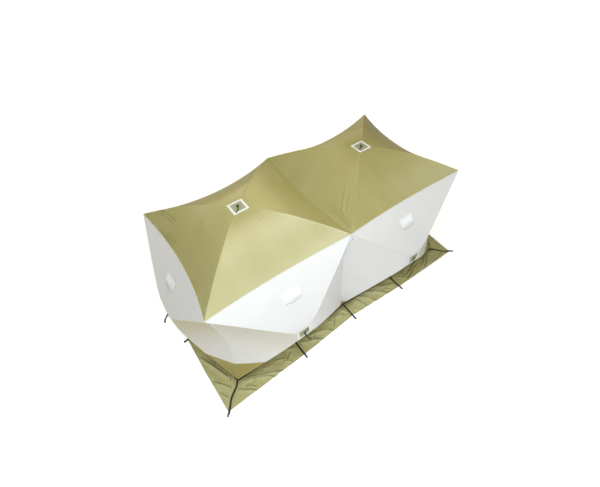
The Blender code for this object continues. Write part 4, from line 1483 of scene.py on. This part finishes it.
def fold_height(along, spread, line, tall, half):
    """One fold along a line: a steep flank on its outer side, a long one on its inner side.

    Its height fades in at the start and is kept to its end, and the way to the line is the
    distance to its nearest span. The second value is painted shade in the crease under the steep flank.
    """
    path = smooth_line(line)
    height, crease = np.zeros(along.shape), np.zeros(along.shape)
    box = (along > path[:, 0].min() - FOLD_REACH) & (along < path[:, 0].max() + FOLD_REACH)
    points = np.stack([along[box], spread[box]], axis=-1)
    near, sign, part = np.full(len(points), np.inf), np.zeros(len(points)), np.zeros(len(points))
    for i, (start, span) in enumerate(zip(path[:-1], np.diff(path, axis=0))):
        length = np.linalg.norm(span)
        ahead = span / length
        away = points - start
        t = np.clip(away @ ahead / length, 0, 1)
        gap = away - t[:, None] * span
        distance = np.linalg.norm(gap, axis=-1)
        closer = distance < near
        near = np.where(closer, distance, near)
        sign = np.where(closer, gap @ np.array([-ahead[1], ahead[0]]), sign)
        part = np.where(closer, (i + t) / (len(path) - 1), part)
    outer = sign * math.copysign(1.0, np.prod(path[-1] - path[0])) < 0
    flank = np.where(outer, bell(near / (0.42 * half)), bell(near / (1.6 * half)))
    dip = 0.16 * bell((near - 1.1 * half) / (0.5 * half)) * outer
    fade = smooth(0.0, 0.22, part) * (1 - 0.35 * smooth(0.8, 1.0, part))
    height[box] = tall * (flank - dip) * fade
    crease[box] = bell((near - 0.9 * half) / (0.42 * half)) * outer * fade
    return height, crease * min(1.0, tall / 0.020)


def loose_folds(side, length):
    """Folds for the stretches with none of their own: they fan from the straps' feet to the hem.

    The front has folds of its own all along.
    """
    if side == 0:
        return []
    rng = np.random.default_rng(60 + side)
    free = []
    for stop in strap_stops(length):
        for way in (-1, 1):
            for start in (0.05, 0.16, 0.34):
                begin = stop + way * (start + rng.uniform(-0.03, 0.03))
                run = rng.uniform(0.22, 0.42)
                bend = rng.uniform(-0.03, 0.03)
                line = (
                    (begin, rng.uniform(0.01, 0.06)),
                    (begin + way * run * 0.5, rng.uniform(0.10, 0.14) + bend),
                    (begin + way * run, rng.uniform(0.20, 0.29)),
                )
                fold = (*line, rng.uniform(0.010, 0.022), rng.uniform(0.012, 0.019))
                beside = [abs(line[1][0] - mark[1][0]) < 0.22 for mark in FOLDS[side]]
                off_end = max(abs(line[0][0]), abs(line[2][0])) > length / 2 + 0.05
                if not (any(beside) or off_end):
                    free.append(fold)
    return free


def rucks(side, length):
    """Short small folds, scattered at a slant along the skirt."""
    rng = np.random.default_rng(40 + side)
    marks = []
    for start in np.arange(-length / 2 + 0.05, length / 2 - 0.05, 0.075):
        begin = np.array([start + rng.uniform(-0.04, 0.04), rng.uniform(0.04, 0.17)])
        turn = rng.uniform(0.2, 0.9) * rng.choice((1, 1, -1))
        run = rng.uniform(0.05, 0.12) * np.array([math.copysign(math.cos(turn), turn), abs(math.sin(turn))])
        middle = begin + 0.5 * run + rng.uniform(-0.008, 0.008, 2)
        marks.append((begin, middle, begin + run, rng.uniform(0.006, 0.012), rng.uniform(0.008, 0.012)))
    return marks


def skirt_height(side, along, width, spread):
    """Height of the cloth over the ground, and the painted shade in its creases: flat beside the straps and
    at the hem.
    """
    length = SIDE_LENGTHS[side]
    height, low, creases = np.zeros((3, *along.shape))
    for *line, tall, half in (*FOLDS[side], *loose_folds(side, length), *rucks(side, length)):
        one, crease = fold_height(along, spread, line, FOLD_RISE * tall, half)
        creases = np.maximum(creases * smooth(0.016, 0.002, one), crease)
        height = np.maximum(height, one)
        low = np.minimum(low, one)
    crumple = fold_waves(np.stack([along, spread], axis=-1), 90 + side, *CRUMPLES)
    height = height + low + 0.004 + np.abs(crumple) + 0.3 * crumple
    beside = np.min([np.abs(along - stop) for stop in strap_stops(length)[1:-1]], axis=0)
    mitre = length / 2 + spread - np.abs(along)
    calm = smooth(STRAP_FLAT, STRAP_FLAT + 0.035, beside) * smooth(0.010, 0.05, mitre)
    taut_hem = 0.25 + 0.75 * smooth(0.0, 0.055, width - spread)
    return np.maximum(height, 0) * calm * taut_hem * smooth(0.010, 0.045, spread), creases * calm


def make_skirt():
    """Four strips of cloth, mitred at the corners, lying on the ground with their folds."""
    for side, (name, length) in enumerate(zip(SIDES, SIDE_LENGTHS)):
        flat_length, flat_width = length + 2 * SKIRT_WIDTH, SKIRT_WIDTH + SKIRT_HEM_INSIDE
        columns = int(flat_length / SKIRT_STEP)
        share_out = np.linspace(0, 1, SKIRT_ROWS)[:, None]
        share = np.linspace(-1, 1, columns)[None]
        corner = np.where(share < 0, HEMS[side][0][1], HEMS[side][-1][1])
        width = hem_width(side, share * (length / 2 + corner * share_out))
        spread = -SKIRT_HEM_INSIDE + (width + SKIRT_HEM_INSIDE) * share_out
        along = share * (length / 2 + spread)
        height, creases = skirt_height(side, along, width, spread)
        mitre = length / 2 + spread - np.abs(along)
        drawn = fold_waves(along[..., None] * np.ones(2), 70 + side, *HEM_WAVES)
        drawn = drawn + 0.30 * height * smooth(0.0, 0.1, mitre)
        pulled = spread - np.clip(drawn, -0.002, 0.02) * share_out * smooth(0.0, 0.12, mitre)
        points = np.stack([*ground_place(side, along, pulled), SKIRT_TOP - 0.0006 + height], axis=-1)
        marks = {
            "fold_height": height,
            "from_hem": width - spread,
            # Painted shade: in the creases under the folds' steep flanks, and beside the wall's foot, most
            # along the middle of a side
            "crease": creases,
            "by_foot": smooth(0.10, 0.02, spread) * (0.5 + 0.5 * smooth(-1.2, 0.2, -np.abs(along))),
        }
        uv = np.stack([along, spread], axis=-1)
        strip = mesh_object(f"skirt_{name}", points, grid_faces(SKIRT_ROWS, columns), uv, marks)
        shell(strip, (0, 0, 1), SKIRT_CLOTH, "skirt")
        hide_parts("ground_skirt")
        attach(strip, "tent_body")


# Webbing round the foot, and its straps. Outline: way out from the foot, and height

FOOT_TAPE = 0.024
FOOT_GAP = 0.0026
FOOT_STEP = 0.02
FOOT_OUTLINE = (
    (0.0, 0.0), (FOOT_TAPE, 0.0), (FOOT_TAPE + 0.0004, 0.0010), (FOOT_TAPE, 0.0018), (0.003, 0.0022),
    (0.0022, 0.006), (0.0020, 0.010), (0.0006, 0.0102), (0.0, 0.009),
)
STRAP_THICK = 0.0020
STRAP_LOOP_HUMP = 0.0045
STRAP_START = 0.006
STRAP_OFF = 0.0018
STRAP_ON_GROUND = 0.0004
STRAP_OVER_FOOT = 0.0024
TAB_SIZE = (0.028, 0.0024)
TAB_OFF = 0.0050
UPWARDS = (0, 0, 1)


def make_foot_webbing():
    """Webbing that runs round the foot, over the joint of wall and skirt, and turns up the wall."""
    x, y, inner = TENT_LENGTH / 2, TENT_DEPTH / 2, TENT_DEPTH / 2 - MIDDLE_FOOT_IN
    corners = [(-x, -y), (0, -inner), (x, -y), (x, y), (0, inner), (-x, y), (-x, -y)]
    path = np.concatenate([
        np.linspace(a, b, max(2, int(math.dist(a, b) / FOOT_STEP)), endpoint=False)
        for a, b in zip(corners[:-1], corners[1:])
    ])
    for _ in range(2):
        path = (np.roll(path, 1, axis=0) + 2 * path + np.roll(path, -1, axis=0)) / 4
    path = np.column_stack([path, np.full(len(path), SKIRT_TOP + 0.0012)])
    outline = np.array(FOOT_OUTLINE) + [FOOT_GAP, 0]
    count = len(outline)
    uv = grid_uv(np.arange(len(path)) * FOOT_STEP, np.arange(count) / count * FOOT_TAPE)
    tape = sweep("foot_webbing", path, outline, UPWARDS, closed=True, uv=uv)
    dress(tape, "foot")
    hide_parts("base_webbing")
    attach(tape, "tent_body")


def strap_route(side, stop, corner, rng):
    """Middle line of one ground strap, from the foot out over the skirt and down to the ground."""
    half = np.array([TENT_LENGTH, TENT_DEPTH]) / 2
    if corner:
        edge = math.sqrt(2) * HEMS[side][0][1]
        sign = np.array([(-1, -1), (1, -1), (1, 1), (-1, 1)][side], float)
        start, ahead = sign * half, sign / math.sqrt(2)
    else:
        start = ground_place(side, stop, 0.0)
        ahead = np.array([(0, -1), (1, 0), (0, 1), (-1, 0)][side], float)
        edge = hem_width(side, stop) + half[1 - side % 2] - abs(start @ ahead)
    share = np.linspace(0, 1, 60)
    out = STRAP_START + (edge + STRAP_PAST_SKIRT + 0.010 - STRAP_START) * share
    turn = rng.uniform(-0.04, 0.04)
    if corner:
        waves = 1.35 * share + rng.uniform(-0.1, 0.1)
        sway = 0.011 * np.sin(2 * math.pi * waves) * smooth(0.0, 0.15, share)
    else:
        sway = 0.003 * np.sin(5 * share + rng.uniform(0, 3)) + turn * out
    aside = np.array([-ahead[1], ahead[0]])
    high = SKIRT_TOP + STRAP_OFF
    z = high - (high - STRAP_ON_GROUND) * smooth(edge - 0.002, edge + 0.030, out)
    z += STRAP_OVER_FOOT * smooth(0.035, 0.0, out)
    return np.column_stack([start + out[:, None] * ahead + sway[:, None] * aside, z])


def make_straps():
    """Twelve straps across the skirt: folded loops along the sides, grey tabs at the corners."""
    rng = np.random.default_rng(7)
    for side, (name, length) in enumerate(zip(SIDES, SIDE_LENGTHS)):
        for index, stop in enumerate(strap_stops(length)[1:-1]):
            make_strap(f"strap_{name}_{index + 1}", strap_route(side, stop, False, rng))
        route = strap_route(side, 0.0, True, rng)
        make_strap(f"strap_corner_{side + 1}", route)
        tab = sweep(f"strap_tab_{side + 1}", route[-9:] + [0, 0, TAB_OFF], band_outline(*TAB_SIZE), UPWARDS)
        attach(dress(tab, "tab"), "tent_body")


def make_strap(name, route):
    """Two layers of webbing, sewn into a loop at the end by a small hump."""
    outline = band_outline(STRAP_WIDTH, STRAP_THICK)
    end = route[-16:].copy()
    end[:, 2] += STRAP_LOOP_HUMP * np.sin(np.linspace(0, math.pi, len(end))) + STRAP_THICK
    layers = [sweep(name, route, outline, UPWARDS), sweep(f"{name}_fold", end, outline, UPWARDS)]
    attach(join(name, [dress(layer, "strap") for layer in layers]), "tent_body")


# Camera, light and floor

PHOTO_WIDTH = 600
FOCAL_PIXELS = 336.76
SENSOR_WIDTH = 36.0
VIEW_AZIMUTH = math.radians(31.225)
VIEW_DOWN = math.radians(50.072)
VIEW_ROLL = math.radians(4.760)
VIEW_DISTANCE = 4.8064
VIEW_TARGET = np.array([0.0, 0.0, 0.9])
VIEW_OFFSET = (-0.1004, 0.1868)
FLOOR_SIDE = 60.0
FLOOR_COLOUR = (0.86, 0.86, 0.86)
FLOOR_GLOW = (0.55, 1.0)
FLOOR_GLOW_REACH = (3.0, 6.0)
GLOSS_SHARE = 0.10
WHITE = (1.0, 1.0, 1.0)


def make_camera():
    """The photograph's view: its direction, its roll about that direction, and its offset."""
    forward = np.array([
        math.sin(VIEW_AZIMUTH) * math.cos(VIEW_DOWN),
        math.cos(VIEW_AZIMUTH) * math.cos(VIEW_DOWN),
        -math.sin(VIEW_DOWN),
    ])
    level = np.array([math.cos(VIEW_AZIMUTH), -math.sin(VIEW_AZIMUTH), 0.0])
    below = np.cross(forward, level)
    right = math.cos(VIEW_ROLL) * level + math.sin(VIEW_ROLL) * below
    down = -math.sin(VIEW_ROLL) * level + math.cos(VIEW_ROLL) * below
    eye = VIEW_TARGET - forward * VIEW_DISTANCE + right * VIEW_OFFSET[0] + down * VIEW_OFFSET[1]
    data = bpy.data.cameras.new("camera")
    data.sensor_width = SENSOR_WIDTH
    data.lens = SENSOR_WIDTH * FOCAL_PIXELS / PHOTO_WIDTH
    camera = put_in_scene(bpy.data.objects.new("camera", data))
    turn = Matrix((right, -down, -forward)).transposed()
    camera.matrix_world = Matrix.Translation(Vector(eye)) @ turn.to_4x4()
    bpy.context.scene.camera = camera


def background_rays(nodes):
    """1 for rays that show the white background, through film too, and less in the cloth's gloss."""
    rays = nodes.add("ShaderNodeLightPath")
    seen = nodes.most(rays["Is Camera Ray"], rays["Is Transmission Ray"])
    return nodes.most(seen, nodes.times(rays["Is Glossy Ray"], GLOSS_SHARE))


def make_floor():
    """A pale floor. To the camera it glows, more so far from the tent, so that it shows white there."""
    floor = mesh_object("floor", np.column_stack([square_path(FLOOR_SIDE, 1), np.zeros(4)]), [[0, 1, 2, 3]])
    nodes = Nodes("floor_paint")
    away = nodes.reach(nodes.axes(nodes.coordinates(uv=False)))
    glow = nodes.times(background_rays(nodes), nodes.between(away, *FLOOR_GLOW_REACH, *FLOOR_GLOW))
    paint = nodes.set(Base_Color=FLOOR_COLOUR, Roughness=0.9, Emission_Color=WHITE, Emission_Strength=glow)
    floor.data.materials.append(paint)


def make_light(name, place, aim, size, power, colour):
    """A round lamp at a place, turned towards its aim."""
    data = bpy.data.lights.new(name, "AREA")
    data.shape = "DISK"
    data.size = size
    data.energy = power
    data.color = colour
    lamp = put_in_scene(bpy.data.objects.new(name, data))
    toward = Vector(aim) - Vector(place)
    lamp.matrix_world = Matrix.Translation(place) @ toward.to_track_quat("-Z", "Y").to_matrix().to_4x4()


def make_world(strength):
    """An even room light, and the white background."""
    nodes = Nodes("studio", world=True)
    diffuse = nodes.add("ShaderNodeLightPath")["Is Diffuse Ray"]
    seen = background_rays(nodes)
    light = nodes.most(seen, nodes.times(diffuse, strength))
    bpy.context.scene.world = nodes.set(Strength=light, Color=nodes.mix(seen, WORLD_COLOUR, WHITE))


# Lamps: where, what they aim at, width, power and colour, cool in front and warm behind
LIGHTS = {
    "front": ((-0.6, -4.2, 3.4), (0.0, 0.0, 0.8), 2.0, 55, (0.89, 0.96, 1.0)),
    "front_right": ((2.1, -3.7, 5.0), (0.0, 0.0, 0.8), 3.0, 35, (0.97, 0.99, 1.0)),
    "over_near_corner": ((-1.6, -1.8, 4.6), (-1.6, -1.8, 0.0), 2.0, 70, (0.79, 0.905, 1.0)),
    "over_left_cube": ((-0.1, -0.55, 4.6), (-0.1, -0.55, 0.0), 2.4, 27, (1.0, 0.97, 0.88)),
    "over_far_left": ((-2.6, 1.2, 4.4), (-1.0, 0.0, 0.8), 2.0, 9, (0.95, 0.96, 1.0)),
    "left": ((-5.9, 0.0, 1.0), (0.0, 0.0, 0.8), 3.0, 47, (1.0, 0.98, 0.95)),
    "left_front": ((-2.9, -5.1, 1.3), (0.0, 0.0, 0.8), 3.0, 48, (1.0, 1.0, 0.96)),
    "back": ((-2.9, 5.1, 1.3), (0.0, 0.0, 0.8), 3.0, 22, (1.0, 0.98, 0.92)),
    "back_high": ((0.8, 4.6, 4.2), (0.0, 0.0, 0.8), 3.0, 24, (1.0, 0.91, 0.68)),
    "back_right": ((1.6, 3.8, 2.8), (0.4, 0.0, 1.2), 3.0, 34, (1.0, 0.91, 0.50)),
    "right": ((5.9, 0.0, 0.9), (0.0, 0.0, 0.8), 3.0, 26, (1.0, 0.97, 0.90)),
}
WORLD_LIGHT = 0.29
WORLD_COLOUR = (1.0, 0.94, 0.78)


def main():
    """The camera and the floor, the tent face by face, and then the lamps."""
    make_camera()
    make_floor()
    faces = tent_faces()
    for face in faces:
        make_cloth(face)
        make_rods(face)
        make_patch(face)
        make_pads(face)
        if face.name in WINDOW_PLACES:
            make_window(face)
        if face.name == DOOR_FACE:
            make_door(face)
        for material_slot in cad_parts[f"hub_{face.name}"].material_slots:
            material_slot.material = MATERIALS["hub"]
    make_piping(faces)
    make_skirt()
    make_foot_webbing()
    make_straps()
    make_world(WORLD_LIGHT)
    for name, lamp in LIGHTS.items():
        make_light(name, *lamp)
    bpy.context.scene.view_settings.view_transform = "Standard"


main()
